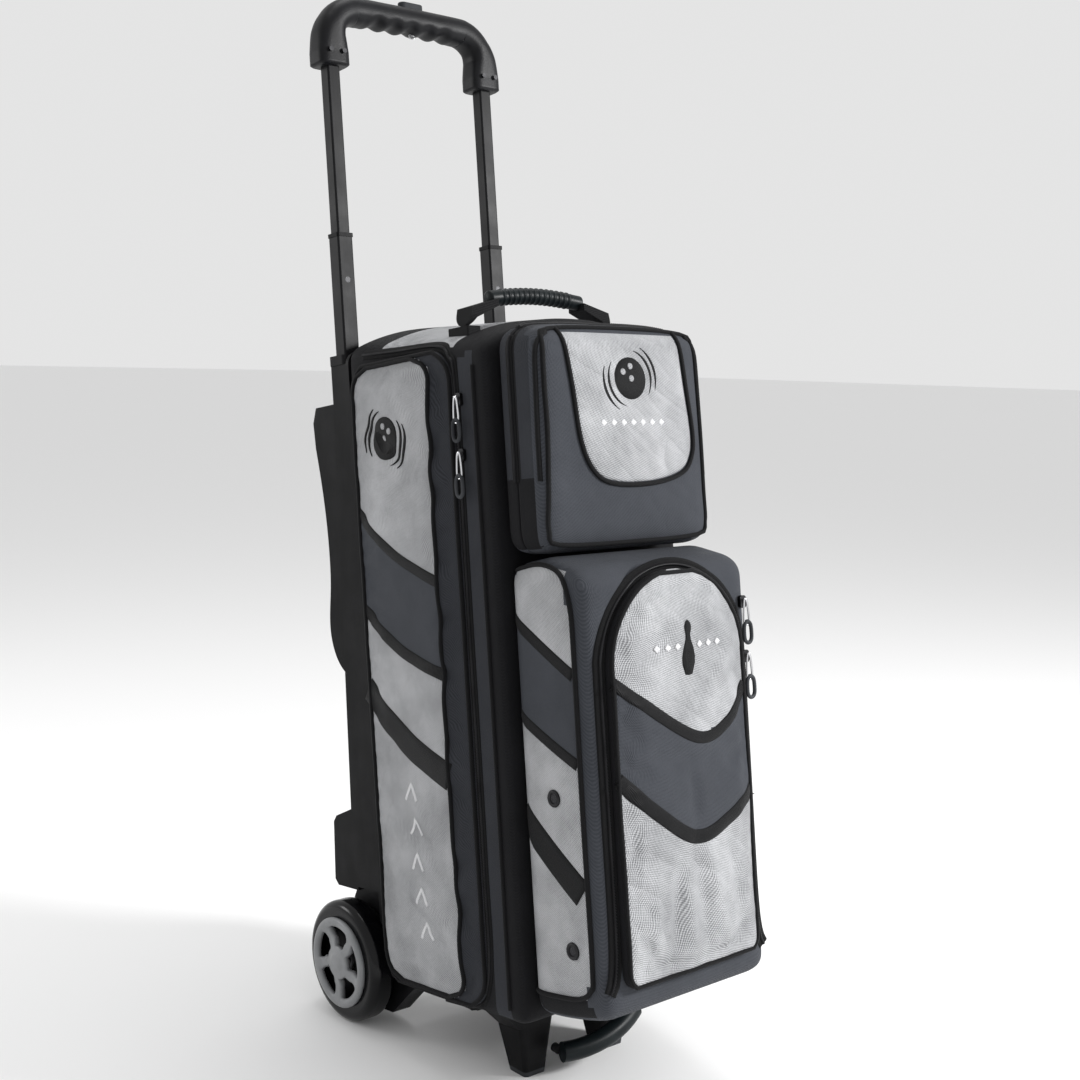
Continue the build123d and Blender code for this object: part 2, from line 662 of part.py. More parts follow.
with BuildPart() as release_rods:
    with BuildSketch(Plane.XY.offset(INNER_BOTTOM + 20)):
        with Locations(pole_places):
            Circle(2.5)
    extrude(amount=BAR_BOTTOM - INNER_BOTTOM - 20)
finish(release_rods, "release_rods")

SPRING_RADIUS = 3.2
with BuildPart() as button_spring:
    with BuildLine():
        Helix(
            pitch=1.25,
            height=BAR_BOTTOM - CHANNEL_BOTTOM - 1.2,
            radius=SPRING_RADIUS,
            center=(BUTTON_X, POLE_Y, CHANNEL_BOTTOM + 0.6),
        )
    spring_start = (BUTTON_X + SPRING_RADIUS, POLE_Y, CHANNEL_BOTTOM + 0.6)
    with BuildSketch(Plane(origin=spring_start, z_dir=(0, 1, 0.06))):
        Circle(0.4)
    sweep()
finish(button_spring, "button_spring")

with BuildPart() as grip_screws:
    for screw_x in (-RAIL_X - 8, -RAIL_X + 8, RAIL_X - 8, RAIL_X + 8):
        with BuildSketch(Plane.XZ.offset(-POLE_Y + GRIP_HALF_DEPTH)):
            with Locations((screw_x, GRIP_BOTTOM + 14)):
                Circle(2.6)
        extrude(amount=1)
finish(grip_screws, "grip_screws")

# ---- carry handle ----
with BuildPart() as carry_grip:
    with BuildLine(Plane.XZ.offset(-CARRY_Y)):
        ThreePointArc((-CARRY_HALF_GRIP, CARRY_END_Z), (0, CARRY_MIDDLE_Z), (CARRY_HALF_GRIP, CARRY_END_Z))
    with BuildSketch(Plane.YZ.offset(-CARRY_HALF_GRIP)):
        with Locations((CARRY_Y, CARRY_END_Z)):
            Ellipse(14, 8)
    sweep()
finish(carry_grip, "carry_grip")

# The webbing's ends are rounded about the line that they swing on, above the anchors.
with BuildPart() as webbing_swing:
    with BuildSketch(Plane.YZ.offset(-CARRY_HALF_SPAN - 5)):
        with Locations((CARRY_Y, CARRY_HINGE_Z)):
            Circle(CARRY_WEB_WIDTH / 2)
        with Locations((CARRY_Y, CARRY_HINGE_Z + CARRY_WEB_WIDTH)):
            Rectangle(CARRY_WEB_WIDTH, 2 * CARRY_WEB_WIDTH)
    extrude(amount=2 * CARRY_HALF_SPAN + 10)

with BuildPart() as carry_webbing:
    for side in (LEFT, RIGHT):
        with BuildSketch(Plane.XZ.offset(-CARRY_Y - CARRY_WEB_WIDTH / 2)):
            with BuildLine():
                Polyline(
                    (side * (CARRY_HALF_GRIP + 3), CARRY_END_Z - 5),
                    (side * (CARRY_HALF_SPAN - 10), CARRY_ANCHOR_Z + 8),
                    (side * (CARRY_HALF_SPAN - 4), CARRY_ANCHOR_Z),
                    (side * CARRY_HALF_SPAN, CARRY_ANCHOR_Z),
                    (side * (CARRY_HALF_SPAN - 4), CARRY_ANCHOR_Z + 18),
                    (side * (CARRY_HALF_GRIP + 3), CARRY_END_Z + 2),
                    close=True,
                )
            make_face()
        extrude(amount=CARRY_WEB_WIDTH)
    add(webbing_swing.part, mode=Mode.INTERSECT)
finish(carry_webbing, "carry_webbing")

with BuildPart() as carry_anchors:
    with BuildSketch(Plane.XY.offset(CARRY_ANCHOR_Z - 1)):
        with Locations((-CARRY_HALF_SPAN + 2, CARRY_Y), (CARRY_HALF_SPAN - 2, CARRY_Y)):
            RectangleRounded(16, CARRY_WEB_WIDTH + 8, 2)
    extrude(amount=-14)
    add(body_block(0), mode=Mode.SUBTRACT)
finish(carry_anchors, "carry_anchors")

# ---- lift handle ----
with BuildPart() as lift_sleeve:
    with BuildLine() as lift_path:
        ThreePointArc(LIFT_START, LIFT_MIDDLE, LIFT_END)
    with BuildSketch(Plane(origin=LIFT_START, z_dir=lift_path.line % 0)):
        Circle(10)
    sweep()
finish(lift_sleeve, "lift_sleeve")

# The webbing's two ends: one to the left leg's inner face, one up to the underside.
WEB_GAP = 1.0
leg_anchor = (-LEG_X + 19, -71, -4)
base_anchor = (76, -84, BODY_BOTTOM - 5)
with BuildPart() as lift_webbing:
    for web_start, web_end in (
        (Vector(leg_anchor), Vector(LIFT_START)),
        (Vector(base_anchor), Vector(LIFT_END)),
    ):
        web_direction = (web_end - web_start).normalized()
        with BuildSketch(Plane(origin=web_start, z_dir=web_direction)):
            Circle(4.5)
        extrude(amount=(web_end - web_start).length - 6)
finish(lift_webbing, "lift_webbing")

# ---- zip sliders and pulls ----
# zip: the plane that its face is parallel to, the side that it faces, its surface, and its sliders
ZIPS = {
    "side_zip": (Plane.YZ, LEFT, -BODY_HALF_WIDTH, (("upper", -94, 634), ("lower", -94, 582))),
    "shoe_zip": (Plane.XZ, RIGHT, -LOWER_FRONT, (("upper", 94, 428), ("lower", 94, 376))),
    "accessory_zip": (Plane.YZ, RIGHT, UPPER_HALF_WIDTH, (("only", UPPER_ZIP_Y + 8, 600),)),
}
WIRE_LENGTH = 26.0
WIRE_TOP = 4.0
END_LENGTH = 22.0
for zip_name, (face_plane, outward, surface, sliders) in ZIPS.items():
    with BuildPart() as zip_sliders:
        with BuildSketch(face_plane.offset(surface)):
            with Locations([(across, height) for _, across, height in sliders]):
                RectangleRounded(8, 12, 3)
        extrude(amount=outward * 3.5)
    finish(zip_sliders, f"{zip_name}_sliders" if len(sliders) > 1 else f"{zip_name}_slider")

    for place, across, height in sliders:
        pull_plane = face_plane.offset(surface + outward * 4)
        with BuildPart() as zip_pull:
            with BuildSketch(pull_plane):
                with Locations((across, height + WIRE_TOP - WIRE_LENGTH / 2)):
                    SlotOverall(WIRE_LENGTH, 7, rotation=90)
                    SlotOverall(WIRE_LENGTH - 4, 3.4, rotation=90, mode=Mode.SUBTRACT)
            extrude(amount=outward * 2)
            with BuildSketch(pull_plane):
                with Locations((across, height + WIRE_TOP + 3 - WIRE_LENGTH - END_LENGTH / 2)):
                    SlotOverall(END_LENGTH, 9, rotation=90)
            extrude(amount=outward * 4.5)
        finish(zip_pull, f"{zip_name}_pull_{place}" if len(sliders) > 1 else f"{zip_name}_pull")

# ---- fasteners ----
with BuildPart() as bracket_bolts:
    for side in (LEFT, RIGHT):
        for bolt_y, bolt_z in ((115, 112), (168, 112)):
            with BuildSketch(Plane.YZ.offset(side * BRACKET_OUTER_X)):
                with Locations((bolt_y, bolt_z)):
                    Circle(4)
            extrude(amount=side * 2)
finish(bracket_bolts, "bracket_bolts")
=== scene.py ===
import json
import math

import bmesh
import bpy
import numpy as np
from mathutils import Matrix, Vector, noise
from mathutils.bvhtree import BVHTree


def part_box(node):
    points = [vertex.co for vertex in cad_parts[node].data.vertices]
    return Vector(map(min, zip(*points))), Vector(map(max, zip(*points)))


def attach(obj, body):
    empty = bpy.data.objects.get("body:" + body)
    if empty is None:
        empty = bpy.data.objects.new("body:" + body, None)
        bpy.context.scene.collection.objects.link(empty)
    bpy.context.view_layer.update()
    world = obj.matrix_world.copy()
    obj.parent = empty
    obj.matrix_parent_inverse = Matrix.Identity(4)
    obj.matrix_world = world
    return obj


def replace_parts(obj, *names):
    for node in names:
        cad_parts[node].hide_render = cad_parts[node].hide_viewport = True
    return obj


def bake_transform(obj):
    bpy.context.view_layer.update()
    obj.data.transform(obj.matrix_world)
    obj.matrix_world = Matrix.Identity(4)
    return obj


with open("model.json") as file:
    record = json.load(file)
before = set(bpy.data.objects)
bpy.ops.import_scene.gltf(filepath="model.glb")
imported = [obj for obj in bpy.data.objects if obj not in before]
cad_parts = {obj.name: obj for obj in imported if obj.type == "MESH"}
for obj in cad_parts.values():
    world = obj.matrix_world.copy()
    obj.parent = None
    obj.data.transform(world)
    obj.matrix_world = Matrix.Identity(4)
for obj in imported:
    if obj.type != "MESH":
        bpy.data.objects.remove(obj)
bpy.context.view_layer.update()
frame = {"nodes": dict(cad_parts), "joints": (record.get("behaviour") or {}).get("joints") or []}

# ---------------------------------------------------------------- the bag's own frame
# Everything soft is built square to the bag's back board, in millimetres, and leaned with it.
MM = 0.001
AXLE_Y, AXLE_Z = 148.0, 63.5
axle_low, axle_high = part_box("axle")
joint_of = {j["name"]: j for j in frame["joints"]}
up_axis = Vector(joint_of["middle_stage_slide"]["axis"])
back_axis = Vector((0, up_axis.z, -up_axis.y))
LEAN = math.atan2(up_axis.y, up_axis.z)
BAG = (
    Matrix.Translation((axle_low + axle_high) / 2)
    @ Matrix(((1, 0, 0, 0), (0, back_axis.y, up_axis.y, 0), (0, back_axis.z, up_axis.z, 0), (0, 0, 0, 1)))
    @ Matrix.Diagonal((MM, MM, MM, 1))
    @ Matrix.Translation((0, -AXLE_Y, -AXLE_Z))
)
TO_BAG = BAG.inverted()
LEFT, RIGHT, FRONT = "left", "right", "front"
OUTSIDE = 400.0   # further out than any surface, where a ray towards one starts
OVERHEAD = 900.0   # higher than the bag's top


def bag_box(node):
    """A CAD node's lowest and highest corners, square to the bag."""
    points = np.array([TO_BAG @ v.co for v in frame["nodes"][node].data.vertices])
    return points.min(0), points.max(0)


def lift(plane, u, v, w):
    """Along the plane, up the plane, and out from the bag's middle, as a point of the bag's frame."""
    if plane == LEFT:
        return Vector((-w, u, v))
    if plane == RIGHT:
        return Vector((w, u, v))
    return Vector((u, -w, v))


def outward(plane):
    return lift(plane, 0, 0, 1) - lift(plane, 0, 0, 0)


# ---------------------------------------------------------------- materials
class Shade:
    """A node material, with short calls for its arithmetic."""

    def __init__(self, name, roughness=0.6, **sockets):
        self.material = bpy.data.materials.new(name)
        self.material.use_nodes = True
        self.tree = self.material.node_tree
        self.shader = self.tree.nodes["Principled BSDF"]
        self.shader.inputs["Roughness"].default_value = roughness
        for socket, value in sockets.items():
            self.shader.inputs[socket.replace("_", " ")].default_value = value

    def node(self, kind, inputs=(), **properties):
        made = self.tree.nodes.new(kind)
        for key, value in properties.items():
            setattr(made, key, value)
        for key, value in dict(inputs).items():
            self.put(made.inputs[key], value)
        return made

    def put(self, socket, value):
        if isinstance(value, bpy.types.NodeSocket):
            self.tree.links.new(value, socket)
        else:
            socket.default_value = value

    def math(self, operation, a, b=0.0, clamp=False):
        return self.node("ShaderNodeMath", {0: a, 1: b}, operation=operation, use_clamp=clamp).outputs[0]

    def add(self, a, b, clamp=False):
        return self.math("ADD", a, b, clamp)

    def sub(self, a, b):
        return self.math("SUBTRACT", a, b)

    def mul(self, a, b, clamp=False):
        return self.math("MULTIPLY", a, b, clamp)

    def sine(self, a):
        return self.math("SINE", a)

    def absolute(self, a):
        return self.math("ABSOLUTE", a)

    def coordinates(self):
        """Millimetres, square to the bag."""
        place = self.node("ShaderNodeTexCoord").outputs["Object"]
        scale = (1 / MM,) * 3
        return self.node("ShaderNodeMapping", {"Vector": place, "Scale": scale, "Rotation": (LEAN, 0, 0)}).outputs[0]

    def noise(self, place, scale, detail=2.0, stretch=None):
        if stretch:
            place = self.node("ShaderNodeVectorMath", {0: place, 1: stretch}, operation="MULTIPLY").outputs[0]
        return self.node(
            "ShaderNodeTexNoise", {"Vector": place, "Scale": scale, "Detail": detail, "Roughness": 0.55}
        ).outputs["Fac"]

    def colour(self, dark, light, share):
        mix = self.node("ShaderNodeMix", data_type="RGBA")
        self.put(mix.inputs[0], share)
        mix.inputs[6].default_value = (*dark, 1)
        mix.inputs[7].default_value = (*light, 1)
        self.tree.links.new(mix.outputs[2], self.shader.inputs["Base Color"])

    def bump(self, height, distance, strength=1.0):
        made = self.node("ShaderNodeBump", {"Height": height, "Distance": distance * MM, "Strength": strength})
        self.tree.links.new(made.outputs[0], self.shader.inputs["Normal"])


def weave_material(name, dark, light, pitch, depth, roughness, sheen, contrast=0.4, blotch=0.5, rumpled=0.4):
    """Woven nylon: crossing yarns, a finer slub, and slow changes of tone where the cloth was handled."""
    s = Shade(name, roughness, Sheen_Weight=sheen, Sheen_Roughness=0.45, Specular_IOR_Level=0.1)
    place = s.coordinates()
    parts = s.node("ShaderNodeSeparateXYZ", {0: place}).outputs
    along = s.add(parts[0], parts[1])
    rise = s.add(parts[2], s.mul(parts[1], 0.35))
    turn = 2 * math.pi / pitch
    warp = s.sine(s.mul(s.add(along, s.mul(rise, 0.5)), turn))
    weft = s.sine(s.mul(s.sub(rise, s.mul(along, 0.5)), turn))
    yarn = s.mul(warp, weft)
    slub = s.noise(place, 0.9, 3)
    tone = s.noise(place, 0.018, 4)
    share = s.add(s.mul(yarn, contrast), 0.5)
    share = s.add(share, s.mul(s.sub(slub, 0.5), contrast))
    share = s.add(share, s.mul(s.sub(tone, 0.5), blotch), clamp=True)
    s.colour(dark, light, share)
    weave = s.add(yarn, s.mul(slub, 1.5))
    slant = s.add(rise, s.mul(along, 0.7))
    drawn = s.node("ShaderNodeCombineXYZ", {0: s.mul(along, 0.45), 1: slant, 2: 0.0})
    crease = s.absolute(s.sub(s.noise(drawn.outputs[0], 0.021, 1.5), 0.5))
    rumple = s.absolute(s.sub(s.noise(place, 0.035, 1), 0.5))
    slow = s.add(s.mul(crease, 30.0 * rumpled), s.mul(rumple, 12.0 * rumpled))
    s.bump(s.add(weave, slow), depth)
    return s.material


def webbing_material(name, dark, light, pitch=2.4):
    """Ribbed tape: fine ribs both ways, with a dusty sheen."""
    s = Shade(name, 0.72, Sheen_Weight=0.03, Sheen_Roughness=0.4, Specular_IOR_Level=0.12)
    place = s.coordinates()
    parts = s.node("ShaderNodeSeparateXYZ", {0: place}).outputs
    turn = 2 * math.pi / pitch
    rib = s.sine(s.mul(s.add(parts[2], s.mul(parts[0], 0.7)), turn))
    cross = s.sine(s.mul(s.sub(parts[1], parts[0]), turn))
    grain = s.noise(place, 0.7, 3)
    height = s.add(s.mul(rib, cross), grain)
    s.colour(dark, light, s.mul(s.add(height, 0.6), 0.6, clamp=True))
    s.bump(height, 0.25)
    return s.material


def moulded_material(name, dark, light, roughness=0.5, grain_size=1.1, depth=0.12, scuffs=0.25, coat=0.0, gloss=0.09):
    """Moulded plastic or rubber: a fine spark-eroded grain, paler scuffs and an uneven gloss."""
    s = Shade(name, roughness, Coat_Weight=coat, Coat_Roughness=0.15, Specular_IOR_Level=gloss)
    place = s.coordinates()
    grain = s.noise(place, grain_size, 3)
    wear = s.noise(place, 0.03, 6)
    streak = s.noise(place, 0.05, 4, (1.0, 1.0, 0.15))
    s.colour(dark, light, s.add(s.mul(s.sub(wear, 0.45), 1.6), s.mul(grain, scuffs), clamp=True))
    rough = s.add(s.mul(s.sub(streak, 0.5), 0.25), roughness, clamp=True)
    s.put(s.shader.inputs["Roughness"], rough)
    s.bump(grain, depth)
    return s.material


def metal_material(name, dark, light, roughness=0.25, brushed=True):
    """Plated or bare metal with fine drawn lines and dull patches."""
    s = Shade(name, roughness, Metallic=1.0)
    place = s.coordinates()
    lines = s.noise(place, 0.8, 2, (1.0, 1.0, 0.05 if brushed else 1.0))
    patches = s.noise(place, 0.1, 4)
    s.colour(dark, light, patches)
    rough = s.add(s.mul(s.sub(lines, 0.4), 0.25), roughness, clamp=True)
    s.put(s.shader.inputs["Roughness"], rough)
    s.bump(lines, 0.02)
    return s.material


def painted_tube_material(name):
    s = Shade(name, 0.38, Specular_IOR_Level=0.1)
    place = s.coordinates()
    scratch = s.noise(place, 0.6, 3, (1.0, 1.0, 0.04))
    patch = s.noise(place, 0.02, 5)
    share = s.add(s.mul(scratch, 0.5), s.mul(patch, 0.5), clamp=True)
    s.colour((0.003, 0.003, 0.0035), (0.012, 0.012, 0.013), share)
    rough = s.add(s.mul(s.sub(patch, 0.5), 0.3), 0.38, clamp=True)
    s.put(s.shader.inputs["Roughness"], rough)
    s.bump(scratch, 0.03)
    return s.material


def thread_material(name, dark, light):
    """Satin embroidery: close parallel threads with a silky shine."""
    s = Shade(name, 0.5, Sheen_Weight=0.03, Sheen_Roughness=0.3, Specular_IOR_Level=0.15)
    place = s.coordinates()
    parts = s.node("ShaderNodeSeparateXYZ", {0: place}).outputs
    across = s.add(s.add(parts[0], parts[1]), s.mul(parts[2], 0.45))
    strand = s.sine(s.mul(across, 2 * math.pi / 0.9))
    fuzz = s.noise(place, 1.3, 3)
    s.colour(dark, light, s.add(s.mul(strand, 0.25), fuzz, clamp=True))
    s.bump(strand, 0.15)
    return s.material


SILVER = weave_material(
    "silver_ballistic_cloth", (0.18, 0.184, 0.193), (0.62, 0.627, 0.645),
    pitch=2.4, depth=0.45, roughness=0.46, sheen=0.05, contrast=0.5, blotch=1.2, rumpled=1.0)
CHARCOAL = weave_material(
    "charcoal_cloth", (0.028, 0.031, 0.037), (0.072, 0.077, 0.090),
    pitch=1.8, depth=0.25, roughness=0.6, sheen=0.03, contrast=0.35, blotch=0.6)
GUSSET = weave_material(
    "gusset_cloth", (0.014, 0.015, 0.018), (0.050, 0.053, 0.062),
    pitch=1.6, depth=0.25, roughness=0.62, sheen=0.02, contrast=0.4, blotch=0.5)
BLACK_CLOTH = weave_material(
    "black_cloth", (0.003, 0.003, 0.0035), (0.013, 0.013, 0.015),
    pitch=1.5, depth=0.16, roughness=0.66, sheen=0.02, contrast=0.3, blotch=0.6)
LINING = weave_material(
    "lining_cloth", (0.012, 0.012, 0.014), (0.035, 0.035, 0.04),
    pitch=1.1, depth=0.12, roughness=0.7, sheen=0.2, contrast=0.3, blotch=0.5)
PIPING = webbing_material("piping_tape", (0.002, 0.002, 0.0025), (0.010, 0.010, 0.011), 1.6)
WEBBING = webbing_material("black_webbing", (0.002, 0.002, 0.0025), (0.014, 0.014, 0.015), 2.2)
ZIP_TAPE = webbing_material("zip_tape", (0.002, 0.002, 0.002), (0.008, 0.008, 0.009), 1.2)
ZIP_TEETH = moulded_material(
    "zip_teeth", (0.008, 0.008, 0.009), (0.03, 0.03, 0.032), roughness=0.38, grain_size=1.5, depth=0.05)
PLASTIC = moulded_material("black_moulding", (0.003, 0.003, 0.0035), (0.013, 0.013, 0.014), roughness=0.46)
GRIP_RUBBER = moulded_material(
    "soft_grip", (0.004, 0.004, 0.005), (0.017, 0.018, 0.02),
    roughness=0.42, grain_size=0.9, depth=0.16, gloss=0.16)
SLEEVE_RUBBER = moulded_material(
    "handle_sleeve", (0.004, 0.006, 0.007), (0.014, 0.02, 0.022),
    roughness=0.4, grain_size=0.6, depth=0.08, gloss=0.16)
TYRE = moulded_material(
    "tyre_urethane", (0.002, 0.002, 0.0025), (0.008, 0.008, 0.009),
    roughness=0.2, grain_size=0.35, depth=0.05, scuffs=0.12, coat=0.12, gloss=0.16)
HUB = moulded_material(
    "hub_moulding", (0.17, 0.175, 0.18), (0.30, 0.305, 0.315),
    roughness=0.4, grain_size=1.2, depth=0.06, scuffs=0.3, coat=0.1, gloss=0.35)
GREY_RUBBER = moulded_material(
    "grey_rubber", (0.03, 0.032, 0.035), (0.075, 0.078, 0.085), grain_size=0.9, depth=0.08)
TUBE_PAINT = painted_tube_material("black_tube_paint")
CHROME = metal_material("bright_wire", (0.62, 0.62, 0.64), (0.85, 0.85, 0.87), 0.14, brushed=False)
STEEL = metal_material("plated_steel", (0.35, 0.35, 0.36), (0.62, 0.62, 0.63), 0.32)
BLACK_METAL = metal_material("blackened_metal", (0.015, 0.015, 0.016), (0.05, 0.05, 0.052), 0.4, brushed=False)
BLACK_THREAD = thread_material("black_thread", (0.002, 0.002, 0.0025), (0.009, 0.009, 0.010))
WHITE_THREAD = thread_material("white_thread", (0.55, 0.55, 0.57), (0.85, 0.85, 0.86))

# What the sewn skins and panels are made of: each face has one of these numbers.
PALETTE = [BLACK_CLOTH, SILVER, GUSSET, CHARCOAL, LINING]
BLACK_ID, SILVER_ID, GUSSET_ID, CHARCOAL_ID, LINING_ID = range(len(PALETTE))


# ---------------------------------------------------------------- making pieces
def piece(name, points, faces, materials, body=None, face_materials=None, smooth=True):
    """A mesh from points in the bag's frame, that rides on a CAD body."""
    mesh = bpy.data.meshes.new(name)
    mesh.from_pydata([BAG @ Vector(p) for p in points], [], faces)
    for material in materials:
        mesh.materials.append(material)
    if face_materials is not None:
        mesh.polygons.foreach_set("material_index", face_materials)
    mesh.polygons.foreach_set("use_smooth", [smooth] * len(mesh.polygons))
    mesh.update()
    made = bpy.data.objects.new(name, mesh)
    bpy.context.scene.collection.objects.link(made)
    if body:
        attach(made, body)
    return made


def apply_modifiers(obj):
    bpy.context.view_layer.update()
    evaluated = obj.evaluated_get(bpy.context.evaluated_depsgraph_get())
    mesh = bpy.data.meshes.new_from_object(evaluated)
    obj.modifiers.clear()
    obj.data = mesh
    return mesh


def subdivide(obj, levels=1):
    obj.modifiers.new("Smooth", "SUBSURF").levels = levels
    apply_modifiers(obj)


def fix_normals(obj):
    work = bmesh.new()
    work.from_mesh(obj.data)
    bmesh.ops.recalc_face_normals(work, faces=work.faces)
    work.to_mesh(obj.data)
    work.free()


def band(a, b, count, turned=False):
    """The quads between two rings of points, each count long, whose first points are a and b."""
    made = [(a + k, b + k, b + (k + 1) % count, a + (k + 1) % count) for k in range(count)]
    return [(i, m, l, j) for i, j, l, m in made] if turned else made


def caps(rings, count, turned=False):
    """The end faces of rings of points, each count long."""
    first, last = range(count), range((rings - 1) * count, rings * count)
    return [tuple(reversed(first)), tuple(last)] if turned else [tuple(first), tuple(reversed(last))]


def neighbours(path, i, closed=False):
    """The points of a path before and after one of its points."""
    before = path[(i - 1) % len(path)] if closed or i else path[0]
    after = path[(i + 1) % len(path)] if closed or i < len(path) - 1 else path[-1]
    return before, after


def surface_of(obj):
    """A search tree of a piece's faces, in the bag's frame."""
    points = [TO_BAG @ v.co for v in obj.data.vertices]
    return BVHTree.FromPolygons(points, [list(p.vertices) for p in obj.data.polygons])


def on_surface(tree, plane, u, v, fallback):
    """How far out the surface stands at a place of the plane."""
    out = outward(plane)
    hit = tree.ray_cast(lift(plane, u, v, OUTSIDE), -out)[0]
    return fallback if hit is None else hit.dot(out)


def smooth_path(points, step=4.0, closed=False):
    """A Catmull-Rom curve through the points, in any number of dimensions, at about even steps."""
    p = [np.array(q, float) for q in points]
    n = len(p)
    at = (lambda i: p[i % n]) if closed else (lambda i: p[min(max(i, 0), n - 1)])
    made = []
    for i in range(n if closed else n - 1):
        a, b, c, d = at(i - 1), at(i), at(i + 1), at(i + 2)
        pieces = max(1, round(float(np.linalg.norm(c - b)) / step))
        for k in range(pieces):
            t = k / pieces
            made.append(
                0.5 * (2 * b + (c - a) * t + (2 * a - 5 * b + 4 * c - d) * t * t + (3 * b - a - 3 * c + d) * t ** 3)
            )
    if not closed:
        made.append(p[-1])
    return made


def straight_path(points, step=4.0):
    made = []
    for a, b in zip(points, points[1:]):
        a, b = np.array(a, float), np.array(b, float)
        pieces = max(1, round(float(np.linalg.norm(b - a)) / step))
        made += [a + (b - a) * k / pieces for k in range(pieces)]
    return made + [np.array(points[-1], float)]


def tube(name, path, radius, material, body=None, closed=False, sides=8):
    """A tube along points in the bag's frame. radius is a number, or a function of the point's index."""
    path = [Vector(p) for p in path]
    n = len(path)
    size = radius if callable(radius) else (lambda i: radius)
    tangents = []
    for i in range(n):
        a, b = neighbours(path, i, closed)
        tangents.append((b - a).normalized())
    side = tangents[0].orthogonal().normalized()
    points, faces = [], []
    for i in range(n):
        side = (side - tangents[i] * side.dot(tangents[i])).normalized()
        other = tangents[i].cross(side)
        for k in range(sides):
            angle = 2 * math.pi * k / sides
            points.append(path[i] + side * math.cos(angle) * size(i) + other * math.sin(angle) * size(i))
    for i in range(n if closed else n - 1):
        faces += band(i * sides, ((i + 1) % n) * sides, sides, True)
    if not closed:
        faces += caps(n, sides, True)
    return piece(name, points, faces, [material], body)


def ribbon(name, tree, plane, path, width, material, body, lift_off, fallback, closed=False, crown=0.5,
           least=0.0):
    """A band of tape lying on a surface, with a low crown and closed sides. width may vary along it.
    fallback is how far out it lies where it meets no surface, and least is the least it may."""
    n = len(path)
    wide = width if callable(width) else (lambda i: width)
    across = 6
    points, faces = [], []
    for i in range(n):
        here = np.array(path[i], float)
        a, b = (np.array(p, float) for p in neighbours(path, i, closed))
        direction = (b - a) / max(np.linalg.norm(b - a), 1e-6)
        normal = np.array((-direction[1], direction[0]))
        tops, bottoms = [], []
        for k in range(across + 1):
            s = 2 * k / across - 1
            u, v = here + normal * s * wide(i) / 2
            fallback = max(least, on_surface(tree, plane, u, v, fallback))
            edge = max(0.0, 1 - s ** 4)
            high = lift_off * edge * (1 + crown * (1 - s * s)) / (1 + crown)
            tops.append(lift(plane, u, v, fallback + 0.35 + high))
            bottoms.append(lift(plane, u, v, fallback - 1.0))
        points += tops + bottoms[::-1]
    ring = 2 * (across + 1)
    for i in range(n if closed else n - 1):
        faces += band(i * ring, ((i + 1) % n) * ring, ring)
    if not closed:
        faces += caps(n, ring)
    made = piece(name, points, faces, [material], body)
    fix_normals(made)
    return made


def depths_along(tree, plane, path, fallback, closed=False, smoothing=3):
    """How far out the surface stands all along a path, with small steps evened out."""
    depths = []
    for u, v in path:
        fallback = on_surface(tree, plane, u, v, fallback)
        depths.append(fallback)
    for _ in range(smoothing):
        before = depths[:]
        for i in range(len(depths)):
            if closed or 0 < i < len(depths) - 1:
                depths[i] = (before[i - 1] + 2 * before[i] + before[(i + 1) % len(depths)]) / 4
    return depths


WELT_SINK = 0.35   # the share of a welt's width that lies in the cloth


def piping(name, tree, plane, path, radius, body, fallback, closed=False):
    """A round welt laid along a path on a surface."""
    depths = depths_along(tree, plane, path, fallback, closed)
    placed = [lift(plane, u, v, w + radius * (1 - 2 * WELT_SINK)) for (u, v), w in zip(path, depths)]
    return tube(name, placed, radius, PIPING, body, closed)


def teeth(name, line, body):
    """A zip's coil of teeth: a tube that is thick at every other point."""
    tube(name, line, lambda i: 1.7 if i % 2 else 1.15, ZIP_TEETH, body, sides=6)


TEETH_STEP, TEETH_PROUD = 1.3, 1.1


def zip_along(name, tree, plane, path, tape, body, fallback, least=0.0):
    """A zip laid along a path on a surface: its tape, and the coil of teeth down the middle."""
    ribbon(f"{name}_tape", tree, plane, path, tape, ZIP_TAPE, body, 0.5, fallback, False, 0.1, least)
    fine = smooth_path(path, TEETH_STEP)
    depths = depths_along(tree, plane, fine, fallback, smoothing=6)
    teeth(f"{name}_teeth", [lift(plane, u, v, max(w, least) + TEETH_PROUD) for (u, v), w in zip(fine, depths)], body)


EDGE_STEPS = (0.0, 1.0, 2.5, 4.5, 7.0, 10.5, 15.0)


def spaced(low, high, step):
    """Places from low to high, closer together near both ends."""
    inner_low, inner_high = low + EDGE_STEPS[-1], high - EDGE_STEPS[-1]
    count = max(2, round((inner_high - inner_low) / step))
    middle = [inner_low + (inner_high - inner_low) * k / count for k in range(1, count)]
    return [low + d for d in EDGE_STEPS] + middle + [high - d for d in reversed(EDGE_STEPS)]


